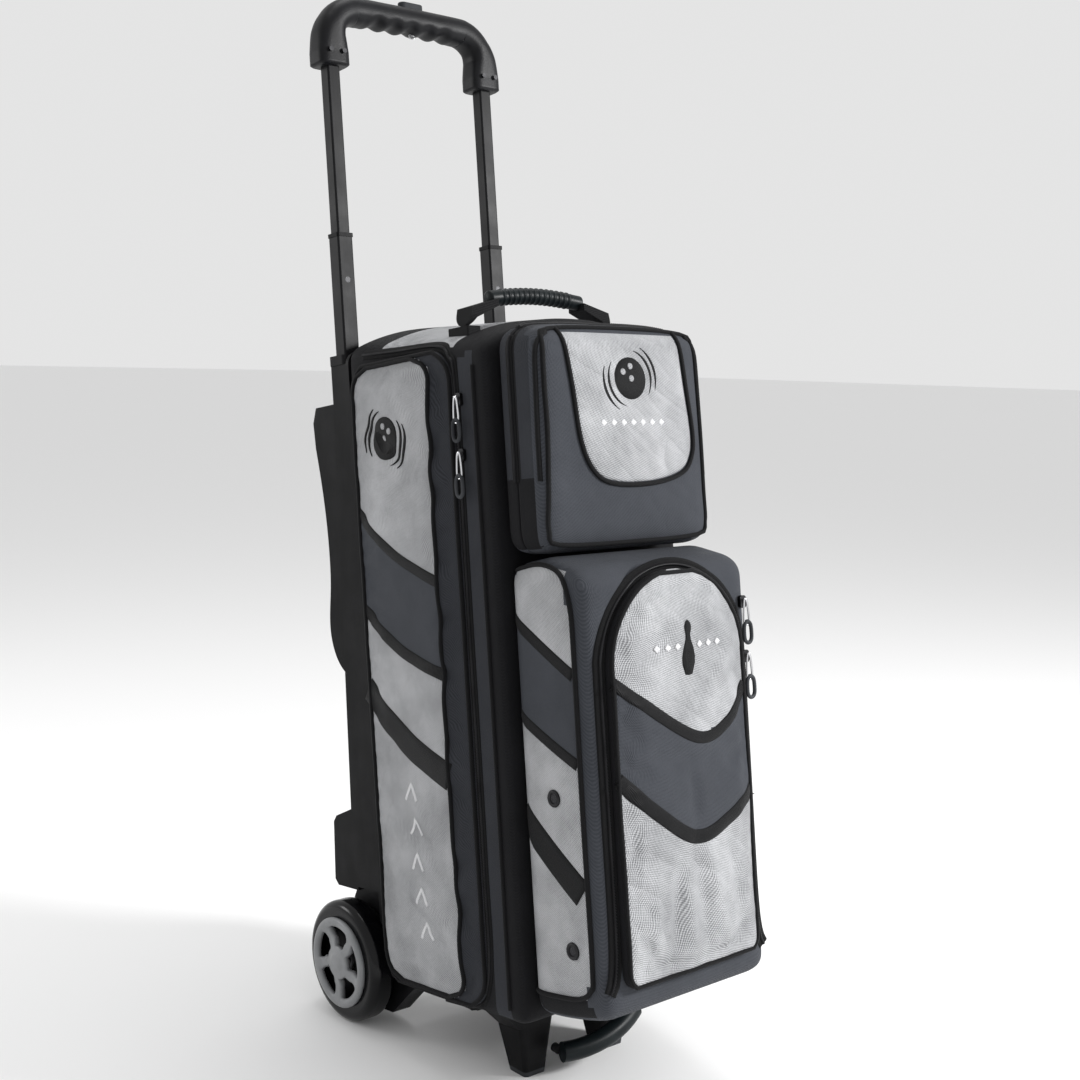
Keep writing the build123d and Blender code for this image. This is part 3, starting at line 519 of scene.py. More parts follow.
class Panel:
    """A padded panel: a grid over an outline that narrows towards its ends, rounded over its edges, with
    walls behind it. half(v) is half its width at height v. face(u, v, edge) is how far out its front
    stands, edge being the distance in. region(kind, u, v) is the number of a face's cloth."""

    WALLS = 2

    def __init__(self, name, plane, centre, low, high, half, face, back, region, step, body):
        self.name, self.plane, self.region, self.body = name, plane, region, body
        rows = spaced(low, high, step)
        widest = max(half(v) for v in rows)
        columns = spaced(-widest, widest, step)
        self.flat, points, self.edge = [], [], []
        for v in rows:
            for c in columns:
                u = c / widest * half(v)
                edge = min(half(v) - abs(u), v - low, high - v)
                self.flat.append((centre + u, v))
                self.edge.append(max(edge, 0.0))
                points.append(lift(plane, centre + u, v, face(centre + u, v, max(edge, 0.0))))
        nc, nr = len(columns), len(rows)
        index = lambda r, c: r * nc + c
        faces = [
            (index(r, c), index(r, c + 1), index(r + 1, c + 1), index(r + 1, c))
            for r in range(nr - 1) for c in range(nc - 1)
        ]
        self.front_faces = len(faces)
        loop = (
            [index(0, c) for c in range(nc)]
            + [index(r, nc - 1) for r in range(1, nr)]
            + [index(nr - 1, c) for c in range(nc - 2, -1, -1)]
            + [index(r, 0) for r in range(nr - 2, 0, -1)]
        )
        self.front_points = len(points)
        out = outward(plane)
        previous = loop
        for k in range(1, self.WALLS + 1):
            ring = []
            for i in loop:
                ring.append(len(points))
                points.append(points[i] + out * (back - points[i].dot(out)) * k / self.WALLS)
            n = len(loop)
            faces += [(previous[i], ring[i], ring[(i + 1) % n], previous[(i + 1) % n]) for i in range(n)]
            previous = ring
        self.wall_faces = len(faces)
        back_of = dict(zip(loop, previous))
        for r in range(1, nr - 1):
            for c in range(1, nc - 1):
                u, v = self.flat[index(r, c)]
                back_of[index(r, c)] = len(points)
                points.append(lift(plane, u, v, back))
        faces += [tuple(back_of[i] for i in reversed(f)) for f in faces[: self.front_faces]]
        self.rest = [Vector(p) for p in points]
        self.points = [Vector(p) for p in points]
        self.faces = faces
        self.object = None

    def build(self):
        """The panel as it was cut, before it is blown up or sculpted."""
        self.object = piece(self.name, self.points, self.faces, PALETTE)
        fix_normals(self.object)
        return self.object

    def take(self):
        self.points = [TO_BAG @ v.co for v in self.object.data.vertices]

    def sculpt(self, creases, seed, ripple, ripple_scale):
        """Pulls creases and slow waves into the front, out along the plane. A crease is its two ends, its
        width and its height, and a hollow where the height is below zero."""
        out = outward(self.plane)
        s = ripple_scale
        for i in range(self.front_points):
            u, v = self.flat[i]
            mask = min(1.0, self.edge[i] / 9.0)
            rise = 0.0
            for (u0, v0), (u1, v1), width, height in creases:
                du, dv = u1 - u0, v1 - v0
                length = math.hypot(du, dv)
                t = ((u - u0) * du + (v - v0) * dv) / length ** 2
                if -0.3 < t < 1.3:
                    away = ((u - u0) * dv - (v - v0) * du) / length
                    taper = math.sin(math.pi * min(1, max(0, (t + 0.3) / 1.6))) ** 1.5
                    ridge = 1.4 * math.exp(-((away / width) ** 2)) - 0.4 * math.exp(-((away / width / 2) ** 2))
                    rise += 1.9 * height * taper * ridge
            rise += ripple * noise.noise(Vector((u * s, v * s, seed)))
            rise += 0.35 * ripple * noise.noise(Vector((u * s * 3, v * s * 3, seed + 7)))
            self.points[i] = self.points[i] + out * (mask * rise)

    def finish(self):
        """The final mesh, coloured by region and smoothed."""
        if self.object is None:
            self.build()
        mesh = bpy.data.meshes.new(self.name)
        mesh.from_pydata([BAG @ p for p in self.points], [], self.faces)
        for material in PALETTE:
            mesh.materials.append(material)
        kinds = []
        for k, face in enumerate(self.faces):
            if k < self.front_faces:
                u = sum(self.flat[i][0] for i in face) / 4
                v = sum(self.flat[i][1] for i in face) / 4
                kinds.append(self.region("face", u, v))
            else:
                kinds.append(self.region("wall" if k < self.wall_faces else "back", 0.0, 0.0))
        mesh.polygons.foreach_set("material_index", kinds)
        mesh.polygons.foreach_set("use_smooth", [True] * len(self.faces))
        self.object.data = mesh
        fix_normals(self.object)
        subdivide(self.object)
        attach(self.object, self.body)


SIM_FRAMES = 14
PRESSURE = 3.2
SLACK = 0.03   # how much more cloth there is than the panel's outline needs
CAP = 5.0   # how far, in mm, a point may move
PINNED_RIM, FREE_RIM = 5, 12   # the cloth is pinned so far in from its edge, and frees itself over the next mm


def simulate(panels):
    """Blows every panel up as cloth at once: its walls and back are pinned, its front fills and wrinkles."""
    for panel in panels:
        obj = panel.build()
        group = obj.vertex_groups.new(name="pin")
        for i in range(len(panel.points)):
            if i >= panel.front_points:
                weight = 1.0
            else:
                weight = 1 - min(1.0, max(0.0, (panel.edge[i] - PINNED_RIM) / FREE_RIM))
            group.add([i], weight, "REPLACE")
        cloth = obj.modifiers.new("Cloth", "CLOTH")
        settings = cloth.settings
        settings.quality = 6
        settings.mass = 0.15
        settings.tension_stiffness = settings.compression_stiffness = 25
        settings.shear_stiffness = 12
        settings.bending_stiffness = 0.35
        settings.vertex_group_mass = "pin"
        settings.use_pressure = True
        settings.uniform_pressure_force = PRESSURE
        settings.shrink_min = -SLACK
        settings.effector_weights.gravity = 0
        cloth.collision_settings.use_collision = False
        cloth.collision_settings.use_self_collision = False
        cloth.point_cache.frame_start, cloth.point_cache.frame_end = 1, SIM_FRAMES
    for number in range(1, SIM_FRAMES + 1):
        bpy.context.scene.frame_set(number)
    for panel in panels:
        apply_modifiers(panel.object)
        panel.object.vertex_groups.clear()
        panel.take()
        for i, rest in enumerate(panel.rest):
            shift = panel.points[i] - rest
            if shift.length > CAP:
                panel.points[i] = rest + shift * (CAP / shift.length)
    bpy.context.scene.frame_set(1)


def rounded_half(half_width, low, high, radius):
    """Half the width of a rounded rectangle at a height."""

    def half(v):
        d = min(v - low, high - v)
        if d >= radius:
            return half_width
        return half_width - radius + math.sqrt(max(0.0, radius ** 2 - (radius - max(d, 0)) ** 2))

    return half


def rounded_edge(edge, radius):
    """How far a rounded edge falls back, at a distance in from it."""
    return 0.0 if edge >= radius else radius - math.sqrt(max(0.0, radius ** 2 - (radius - edge) ** 2))


def outline_path(centre, low, high, half, inset=0.0, step=5.0):
    """The outline of a panel as a closed path, moved in by a distance."""
    rows = [low + inset + (high - low - 2 * inset) * k / 90 for k in range(91)]
    right_side = [(centre + max(half(v) - inset, 1.0), v) for v in rows]
    left_side = [(centre - max(half(v) - inset, 1.0), v) for v in rows]
    corner = right_side + left_side[::-1]
    path = []
    for a, b in zip(corner, corner[1:] + corner[:1]):
        a, b = np.array(a), np.array(b)
        pieces = max(1, round(float(np.linalg.norm(b - a)) / step))
        path += [a + (b - a) * k / pieces for k in range(pieces)]
    kept = [path[0]]
    for p in path[1:]:
        if np.linalg.norm(p - kept[-1]) >= step * 0.6:
            kept.append(p)
    return kept


def rounded_box(name, low, high, radius, step, shape, region, marks=None, keep=None):
    """A box of quads with rounded edges. shape(point) moves each point, and region(middle) is the number
    of a face's cloth. marks are places along an axis where a grid line has to be, and keep(middle) says
    whether a face stays."""
    low, high = np.array(low, float), np.array(high, float)
    points, faces, lookup = [], [], {}

    def add(p):
        key = tuple(round(float(x), 3) for x in p)
        if key not in lookup:
            inner = np.clip(p, low + radius, high - radius)
            away = p - inner
            size = np.linalg.norm(away)
            q = inner + away / size * radius if size > 1e-9 else p
            lookup[key] = len(points)
            points.append(Vector(shape(Vector(q))))
        return lookup[key]

    def places(axis):
        shares = [0.0, 0.12, 0.3, 0.55, 1.0]
        a, b = low[axis], high[axis]
        lines = [m for m in (marks or {}).get(axis, ()) if a + radius + 1 < m < b - radius - 1]
        stops = sorted({a + radius, b - radius, *lines})
        inner = []
        for c, d in zip(stops, stops[1:]):
            count = max(1, round((d - c) / step))
            inner += [c + (d - c) * k / count for k in range(count)]
        return [a + radius * m for m in shares[:-1]] + inner + [b - radius * m for m in reversed(shares)]

    grid = [places(k) for k in range(3)]
    for axis in range(3):
        a, b = (axis + 1) % 3, (axis + 2) % 3
        for value, flip in ((low[axis], True), (high[axis], False)):
            for i in range(len(grid[a]) - 1):
                for j in range(len(grid[b]) - 1):
                    corners = []
                    for x, y in ((i, j), (i + 1, j), (i + 1, j + 1), (i, j + 1)):
                        p = np.zeros(3)
                        p[axis], p[a], p[b] = value, grid[a][x], grid[b][y]
                        corners.append(add(p))
                    faces.append(tuple(reversed(corners)) if flip else tuple(corners))
    middles = [sum((points[i] for i in f), Vector()) / len(f) for f in faces]
    if keep:
        stay = [k for k, m in enumerate(middles) if keep(m)]
        faces, middles = [faces[k] for k in stay], [middles[k] for k in stay]
    return piece(name, points, faces, PALETTE, face_materials=[region(m) for m in middles])


def patch(name, tree, plane, outline, material, body, proud, fallback, shares=(0.5, 0.94)):
    """A thin piece of cloth or embroidery laid on a surface, filled from its middle out, with a ring of
    points at each share of the way to its edge."""
    outline = [np.array(p, float) for p in outline]
    middle = sum(outline) / len(outline)
    n, points, faces = len(outline), [], []
    fallback = on_surface(tree, plane, *middle, fallback)
    points.append(lift(plane, *middle, fallback + proud + 0.25))
    heights = [(share, proud + 0.25 * (1 - share)) for share in shares] + [(1.0, -0.6)]
    for share, high in heights:
        for q in outline:
            u, v = middle + (q - middle) * share
            points.append(lift(plane, u, v, on_surface(tree, plane, u, v, fallback) + high))
    for k in range(n):
        faces.append((0, 1 + k, 1 + (k + 1) % n))
        for ring in range(len(shares)):
            a, b = 1 + ring * n, 1 + (ring + 1) * n
            faces.append((a + k, b + k, b + (k + 1) % n, a + (k + 1) % n))
    faces.append(tuple(1 + len(shares) * n + k for k in range(n)))
    made = piece(name, points, faces, [material], body)
    fix_normals(made)
    return made


# ---------------------------------------------------------------- sizes, from the frame
door_low, door_high = bag_box("side_door_shell")
pad_low, pad_high = bag_box("side_door_pad")
shell_low, shell_high = bag_box("body_shell")
pouch_low, pouch_high = bag_box("accessory_pocket")
lid_low, lid_high = bag_box("accessory_lid")
shoe_low, shoe_high = bag_box("shoe_pocket")
hatch_low, hatch_high = bag_box("shoe_door_shell")
hatch_pad_low, hatch_pad_high = bag_box("shoe_door_pad")

BODY_X, BODY_FRONT, BODY_BACK = shell_high[0], shell_low[1], shell_high[1]
BODY_LOW, CROWN = shell_low[2], shell_high[2]
DOOR_X = -min(door_low[0], pad_low[0])
DOOR_FRONT, DOOR_BACK = door_low[1], door_high[1]
DOOR_LOW, DOOR_TOP = door_low[2], door_high[2]
POUCH_X, POUCH_FRONT, POUCH_LOW, POUCH_TOP = pouch_high[0], pouch_low[1], pouch_low[2], pouch_high[2]
FOLD_Z, LID_BACK = lid_low[2], lid_high[1]
SHOE_X, SHOE_FRONT, SHOE_LOW, SHOE_TOP = shoe_high[0], shoe_low[1], shoe_low[2], shoe_high[2]
HATCH_X, HATCH_LOW, HATCH_TOP = hatch_high[0], hatch_low[2], hatch_high[2]
HATCH_FACE = -min(hatch_low[1], hatch_pad_low[1])
GUSSET_EDGE = DOOR_FRONT + 27.0   # where the door's dark gusset meets its silver cloth
DOOR_MIDDLE, DOOR_HALF = (DOOR_FRONT + DOOR_BACK) / 2, (DOOR_BACK - DOOR_FRONT) / 2
SILVER_MIDDLE, SILVER_HALF = (GUSSET_EDGE + DOOR_BACK - 4) / 2, (DOOR_BACK - 4 - GUSSET_EDGE) / 2


def blend_line(points, at):
    """The height of a broken line through points, at a place along it."""
    xs, ys = zip(*sorted(points))
    return float(np.interp(at, xs, ys))


# ---------------------------------------------------------------- the compartment's skin
SKIN_THICKNESS = 3.0
BEND_Z, FORM_TOP = 560.0, 700.0   # the compartment's box is bent between these heights
DOORWAY_RIM = 8.0   # what the skin keeps inside a door's outline


def top_height(x, y):
    """The top falls towards the front, and from its middle towards both sides."""
    shoulder = blend_line(((BODY_FRONT, 682), (BODY_BACK, 702)), y)
    return shoulder + 27.0 * (1 - min(1.0, abs(x) / BODY_X) ** 2.2)


def body_shape(p):
    if p.z > BEND_Z:
        p.z = BEND_Z + (p.z - BEND_Z) * (top_height(p.x, p.y) - BEND_Z) / (FORM_TOP - BEND_Z)
    return p


def hollow(obj):
    """Gives an open skin a lining on its inside."""
    work = bmesh.new()
    work.from_mesh(obj.data)
    bmesh.ops.delete(work, geom=[v for v in work.verts if not v.link_faces], context="VERTS")
    work.to_mesh(obj.data)
    work.free()
    thick = obj.modifiers.new("Lining", "SOLIDIFY")
    thick.thickness = SKIN_THICKNESS * MM
    thick.offset = -1
    thick.material_offset = len(PALETTE)   # past the last, so that the inside takes the lining
    thick.material_offset_rim = 0
    apply_modifiers(obj)


def doorway(p):
    """The opening behind the side door, with its corners cut off."""
    inside_y = DOOR_FRONT + DOORWAY_RIM < p.y < DOOR_BACK - DOORWAY_RIM
    inside_z = DOOR_LOW + DOORWAY_RIM < p.z < DOOR_TOP - 12
    corner = max(0, abs(p.y - DOOR_MIDDLE) - 52) + max(0, abs(p.z - (DOOR_LOW + DOOR_TOP) / 2) - 282)
    return p.x < -BODY_X + 2 and inside_y and inside_z and corner < 40


def body_region(p):
    if abs(p.x) > BODY_X - 3:
        if -116 < p.y < -92 and p.z < 676:
            return GUSSET_ID
        return BLACK_ID
    if p.z > 650 and -84 < p.y < 37:
        return SILVER_ID
    if p.z > 650 and -118 < p.y < -112:
        return SILVER_ID
    return BLACK_ID


body_skin = rounded_box(
    "body_skin", (-BODY_X, BODY_FRONT, BODY_LOW), (BODY_X, BODY_BACK, FORM_TOP), 12, 11, body_shape, body_region,
    {1: (DOOR_FRONT + DOORWAY_RIM, DOOR_BACK - DOORWAY_RIM, -92, -116, 37, -84),
     2: (DOOR_LOW + DOORWAY_RIM, DOOR_TOP - 12)},
    lambda p: not doorway(p),
)
body_tree = surface_of(body_skin)
hollow(body_skin)
subdivide(body_skin)
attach(body_skin, "bag")
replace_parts(body_skin, "body_shell")

# ---------------------------------------------------------------- side door and the panel that mirrors it
PANEL_GAP = 0.6   # between a panel's back and the skin behind it
SILVER_INSET = 5.0   # from the door's outline to the welt round its silver cloth
# Points along each slash, as y and z, and its width.
SLASHES = (
    ((DOOR_BACK, 537), (40, 509), (0, 486), (GUSSET_EDGE, 464), 11.0),
    ((DOOR_BACK, 438), (40, 413), (0, 393), (GUSSET_EDGE, 375), 12.5),
    ((DOOR_BACK, 355), (40, 325), (0, 301), (GUSSET_EDGE, 278), 28.0),
)


def slash_height(k, u):
    return blend_line(SLASHES[k][:-1], u)


silver_half = rounded_half(SILVER_HALF, DOOR_LOW + SILVER_INSET, DOOR_TOP - SILVER_INSET, 27)


def in_silver(u, v):
    """Inside the silver cloth of the door, which the welt runs round."""
    return DOOR_LOW + SILVER_INSET < v < DOOR_TOP - SILVER_INSET and abs(u - SILVER_MIDDLE) < silver_half(v)


def door_face(u, v, edge):
    """How far out the door's front stands: its gusset slopes back towards the bag's front."""
    w = DOOR_X - 2.0 - rounded_edge(edge, 7) * 0.7
    if u < GUSSET_EDGE:
        w -= 5.0 * (GUSSET_EDGE - u) / (GUSSET_EDGE - DOOR_FRONT)
    return w


def door_region(kind, u, v):
    if kind == "back":
        return LINING_ID
    if kind == "wall":
        return BLACK_ID
    if not in_silver(u, v):
        return GUSSET_ID
    if slash_height(1, u) < v < slash_height(0, u):
        return CHARCOAL_ID
    return SILVER_ID


door_half = rounded_half(DOOR_HALF, DOOR_LOW, DOOR_TOP, 32)
left_door, right_panel = (
    Panel(name, plane, DOOR_MIDDLE, DOOR_LOW, DOOR_TOP, door_half, door_face, BODY_X + PANEL_GAP,
          door_region, 6.0, body)
    for name, plane, body in (("side_door_panel", LEFT, "side_door"), ("right_side_cushion", RIGHT, "bag"))
)

# ---------------------------------------------------------------- shoe door
ARCH = 84.0   # the radius of its arched top


def hatch_half(v):
    if v > HATCH_TOP - ARCH:
        return max(9.0, HATCH_X - ARCH + math.sqrt(max(0.0, ARCH ** 2 - (v - HATCH_TOP + ARCH) ** 2)))
    return rounded_half(HATCH_X, HATCH_LOW, 2000, 16)(v)


# Points along each chevron, as x and z, and its width.
CHEVRONS = (
    ((-HATCH_X + 2, 371), (-49, 345), (12, 311), (52, 321), (HATCH_X - 3, 352), 11.0),
    ((-HATCH_X + 2, 286), (-52, 256), (0, 222), (45, 232), (HATCH_X - 3, 252), 13.0),
)


def chevron_height(k, u):
    return blend_line(CHEVRONS[k][:-1], u)


def hatch_face(u, v, edge):
    swell = 1 - (abs(u) / HATCH_X) ** 2
    return HATCH_FACE - 2.0 - rounded_edge(edge, 9) * 0.8 + 1.5 * swell


def hatch_region(kind, u, v):
    if kind == "back":
        return LINING_ID
    if kind == "wall" or abs(u) > hatch_half(v) - 3.5 or v < HATCH_LOW + 3:
        return BLACK_ID
    return CHARCOAL_ID if chevron_height(1, u) < v < chevron_height(0, u) else SILVER_ID


hatch = Panel("shoe_door_panel", FRONT, 0.0, HATCH_LOW, HATCH_TOP, hatch_half, hatch_face, -SHOE_FRONT + PANEL_GAP,
              hatch_region, 5.5, "shoe_door")

simulate([left_door, right_panel, hatch])

for panel, seed in ((left_door, 1.0), (right_panel, 5.0)):
    panel.sculpt(
        [((70, 640), (-30, 560), 8, -1.6), ((30, 660), (-45, 600), 6, 1.2), ((72, 560), (10, 520), 7, -1.2),
         ((60, 250), (-40, 190), 12, -1.8), ((60, 180), (-30, 130), 9, 1.5), ((30, 100), (-45, 116), 7, -1.6),
         ((10, 250), (-50, 180), 5, 1.1), ((20, 150), (-50, 90), 5, -1.3), ((70, 350), (-20, 330), 8, 1.0),
         ((50, 360), (-40, 345), 5, -1.0)],
        seed, 2.6, 0.013)
    panel.finish()
hatch.sculpt(
    [((-34, 106), (-20, 200), 6, -2.6), ((-8, 104), (-14, 180), 5, 2.0), ((12, 106), (2, 215), 6, -2.4),
     ((36, 108), (20, 190), 6, 2.4), ((56, 118), (48, 210), 6, -2.2), ((-58, 120), (-48, 190), 6, 2.0),
     ((70, 130), (74, 240), 5, 1.6), ((-60, 300), (20, 290), 8, -1.2), ((-30, 430), (30, 440), 9, -1.4),
     ((-60, 380), (-20, 410), 7, -1.4), ((30, 350), (70, 400), 7, 1.2), ((0, 285), (4, 235), 6, -1.2)],
    9.0, 3.0, 0.018)
hatch.finish()
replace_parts(left_door.object, "side_door_shell", "side_door_pad")
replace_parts(right_panel.object, "right_side_panel")
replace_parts(hatch.object, "shoe_door_shell", "shoe_door_pad")


def side_trim(side, panel):
    """Slashes, gusset seam, piping and the zip round a side panel."""
    tree = surface_of(panel.object)
    for k, slash in enumerate(SLASHES):
        path = smooth_path(slash[:-1], 5)
        ribbon(f"{side}_slash_{k + 1}", tree, panel.plane, path, slash[-1], BLACK_THREAD, panel.body,
               0.8, DOOR_X)
    inner = outline_path(SILVER_MIDDLE, DOOR_LOW + SILVER_INSET, DOOR_TOP - SILVER_INSET, silver_half)
    piping(f"{side}_gusset_welt", tree, panel.plane, inner, 2.3, panel.body, DOOR_X, closed=True)
    edge = outline_path(DOOR_MIDDLE, DOOR_LOW, DOOR_TOP, door_half, 2.6)
    piping(f"{side}_edge_welt", tree, panel.plane, edge, 2.2, panel.body, DOOR_X, closed=True)
    around = [(20, DOOR_LOW - 3.5), (-52, DOOR_LOW - 3), (DOOR_FRONT - 1, DOOR_LOW + 32), (DOOR_FRONT - 4.5, 200),
              (DOOR_FRONT - 4.5, 420), (DOOR_FRONT - 4.5, 640), (DOOR_FRONT + 4, DOOR_TOP - 8), (-56, DOOR_TOP + 4.0),
              (10, DOOR_TOP + 7), (66, DOOR_TOP + 10)]
    zip_along(f"{side}_zip", body_tree, panel.plane, smooth_path(around, 5), 9.5, "bag", BODY_X)
    low_line = [(-114, 64), (-115.5, 300), (-115.5, 664)]
    piping(f"{side}_body_welt", body_tree, panel.plane, smooth_path(low_line, 6), 2.0, "bag", BODY_X)


side_trim("left", left_door)
side_trim("right", right_panel)

# ---------------------------------------------------------------- accessory pocket and its lid
POUCH_R = 20.0


def pouch_shape(p):
    """The front is crowned, and the top falls and narrows towards it."""
    front = (BODY_FRONT - p.y) / (BODY_FRONT - POUCH_FRONT)
    if p.y < POUCH_FRONT + 6:
        p.y -= 4.0 * math.cos(math.pi / 2 * min(1.0, abs(p.x) / POUCH_X)) * math.sin(
            math.pi * min(1.0, max(0.0, (p.z - POUCH_LOW) / (POUCH_TOP - POUCH_LOW))))
    if p.z > FOLD_Z + 40:
        rise = (p.z - FOLD_Z - 40) / (POUCH_TOP - FOLD_Z - 40)
        p.z -= rise * (8.0 * front * front + 7.0 * (abs(p.x) / POUCH_X) ** 4)
        p.x *= 1 - 0.06 * rise * max(0.0, front - 0.5)
    return p


def pouch_region(p):
    if abs(p.x) > POUCH_X - 7 and p.y > POUCH_FRONT + POUCH_R * 0.6:
        if p.z > FOLD_Z + 4 and (-153 < p.y < -135 or -178 < p.y < -164):
            return GUSSET_ID
        return BLACK_ID
    if p.y > POUCH_FRONT + 20 and p.z > POUCH_TOP - 20:
        return GUSSET_ID if p.y < -164 or p.y > -153 else BLACK_ID
    return CHARCOAL_ID


def pouch_box(name, keep=None):
    marks = {0: (-75, 84), 1: (LID_BACK, -153, -164, -178), 2: (FOLD_Z,)}
    return rounded_box(name, (-POUCH_X, POUCH_FRONT, POUCH_LOW), (POUCH_X, BODY_FRONT + 2, POUCH_TOP), POUCH_R, 7,
                       pouch_shape, pouch_region, marks, keep)


def fold(obj):
    """Bakes a piece's placement into its points; the piece is attached to no body."""
    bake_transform(obj)


pouch_whole = pouch_box("pouch_form")
pouch_tree = surface_of(pouch_whole)
bpy.data.objects.remove(pouch_whole)
pouch_base = pouch_box("accessory_pocket_skin", lambda p: p.y >= LID_BACK)
pouch_lid = pouch_box("accessory_lid_skin", lambda p: p.y < LID_BACK)
for skin, node in ((pouch_base, "accessory_pocket"), (pouch_lid, "accessory_lid")):
    hollow(skin)
    subdivide(skin)
    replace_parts(skin, node)
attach(pouch_base, "bag")
fold(pouch_lid)

for plane, side in ((LEFT, "left"), (RIGHT, "right")):
    zip_low, zip_high = FOLD_Z + 4, POUCH_TOP - 14
    line = straight_path([(LID_BACK + 1, zip_low), (LID_BACK + 1, zip_high)], 6)
    zip_along(f"{side}_accessory_zip", pouch_tree, plane, line, 9.0, "bag", POUCH_X)
    corner = smooth_path([(-186, 552), (-186, 620), (-186, zip_high)], 6)
    piping(f"{side}_accessory_welt", pouch_tree, plane, corner, 2.4, "accessory_flap", POUCH_X)


def top_at(x, y, fallback):
    """The height of the accessory pocket's top."""
    hit = pouch_tree.ray_cast(Vector((x, y, OVERHEAD)), Vector((0, 0, -1)))[0]
    return hit.z if hit else fallback


def over_top(y, half, step):
    """A line across the pocket's top at one y, from side to side, as points."""
    count = int(2 * half / step)
    places = [-half + 2 * half * k / count for k in range(count + 1)]
    return [Vector((x, y, top_at(x, y, POUCH_TOP))) for x in places]


def top_tape(name, y, half, width):
    """A zip's tape lying over the pocket's top from side to side."""
    points, faces = [], []
    line = over_top(y, half, 6.0)
    ring = 8
    for p in line:
        for s, high in ((-1, 0.0), (-0.6, 1.0), (0.6, 1.0), (1, 0.0)):
            v = y + s * width / 2
            points.append(Vector((p.x, v, top_at(p.x, v, p.z) + 0.2 + high)))
        for s in (1, 0.6, -0.6, -1):
            points.append(Vector((p.x, y + s * width / 2, p.z - 2.5)))
    for i in range(len(line) - 1):
        faces += band(i * ring, (i + 1) * ring, ring)
    faces += caps(len(line), ring)
    fix_normals(piece(name, points, faces, [ZIP_TAPE], "bag"))


top_tape("accessory_zip_top_tape", LID_BACK + 1, POUCH_X - 13, 9)
top_line = over_top(LID_BACK + 1, POUCH_X - 13, TEETH_STEP)
teeth("accessory_zip_top_teeth", [p + Vector((0, 0, TEETH_PROUD)) for p in top_line], "bag")

silver_edge = [(-75, POUCH_TOP - 10), (-68, 640), (-61, 585), (-45, 556), (-18, 546), (30, 546), (66, 554), (80, 568),
               (84, 590), (78, 640), (73, POUCH_TOP - 10)]
front_edge = [(-97, 600), (-97, 640), (-95, POUCH_TOP - 24), (-84, POUCH_TOP - 11), (0, POUCH_TOP - 8),
              (84, POUCH_TOP - 11), (95, POUCH_TOP - 24), (97, 640), (98, 600), (99, 540), (100, POUCH_LOW + 20),
              (88, POUCH_LOW + 8), (0, POUCH_LOW + 6), (-88, POUCH_LOW + 8), (-100, POUCH_LOW + 20), (-99, 540)]
patch_outline = smooth_path(silver_edge, 4)[:-1] + straight_path([silver_edge[-1], silver_edge[0]], 5)[:-1]
fold(patch("silver_patch", pouch_tree, FRONT, patch_outline, SILVER, None, 0.5, -POUCH_FRONT,
           (0.12, 0.24, 0.36, 0.48, 0.6, 0.72, 0.84, 0.93)))
fold(piping("silver_patch_welt", pouch_tree, FRONT, smooth_path(silver_edge, 5), 2.3, None, -POUCH_FRONT))
fold(piping("accessory_front_welt", pouch_tree, FRONT, smooth_path(front_edge, 5, True), 2.4, None, -POUCH_FRONT,
            closed=True))

# ---------------------------------------------------------------- shoe pocket
SHOE_R = 18.0
SHOE_SOLE, SHOE_SHOULDER = 104, 444   # the corners of its silver sides stay dark below and above these
BLACK_BELOW = 87


def shoe_shape(p):
    """The top slopes forwards, the bottom lifts towards the front, and the sides swell."""
    front = (BODY_FRONT - p.y) / (BODY_FRONT - SHOE_FRONT)
    if p.z > 400:
        top = blend_line(((-236, 466), (-220, 474), (-181, 484), (-133, 478)), p.y)
        p.z = 400 + (p.z - 400) * (top - 400) / (SHOE_TOP - 400)
    if p.z < 140:
        p.z += (140 - p.z) / (140 - SHOE_LOW) * 14 * max(0.0, front) ** 2
    side = math.sin(math.pi * min(1.0, max(0.0, (p.z - SHOE_LOW) / (SHOE_TOP - SHOE_LOW))))
    if abs(p.x) > SHOE_X - 1:
        p.x += math.copysign(3.0 * side * math.sin(math.pi * min(1, max(0, front))), p.x)
    return p


# Both ends of each slash, as y and z, and its width.
SHOE_SLASHES = (
    ((-134, 430), (-234, 369), 11.0),
    ((-134, 342), (-238, 290), 10.5),
    ((-134, 248), (-237, 167), 27.0),
)


def shoe_slash_height(k, y):
    return blend_line(SHOE_SLASHES[k][:-1], y)


def shoe_region(p):
    if abs(p.x) > SHOE_X - 4 and p.y > SHOE_FRONT + SHOE_R - 1:
        if shoe_slash_height(1, p.y) < p.z < shoe_slash_height(0, p.y):
            return CHARCOAL_ID
        if p.z < BLACK_BELOW:
            return BLACK_ID
        if p.y >= SHOE_FRONT + 24 or SHOE_SOLE <= p.z <= SHOE_SHOULDER:
            return SILVER_ID
    return CHARCOAL_ID


def hatchway(p):
    """The opening behind the shoe door."""
    inside = HATCH_LOW + DOORWAY_RIM < p.z < HATCH_TOP - DOORWAY_RIM
    return inside and p.y < SHOE_FRONT + 2 and abs(p.x) < hatch_half(p.z) - 7


shoe_skin = rounded_box("shoe_pocket_skin", (-SHOE_X, SHOE_FRONT, SHOE_LOW), (SHOE_X, BODY_FRONT + 2, SHOE_TOP),
                        SHOE_R, 7,
                        shoe_shape, shoe_region, keep=lambda p: not hatchway(p))
shoe_tree = surface_of(shoe_skin)
hollow(shoe_skin)
subdivide(shoe_skin)
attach(shoe_skin, "bag")
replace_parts(shoe_skin, "shoe_pocket")

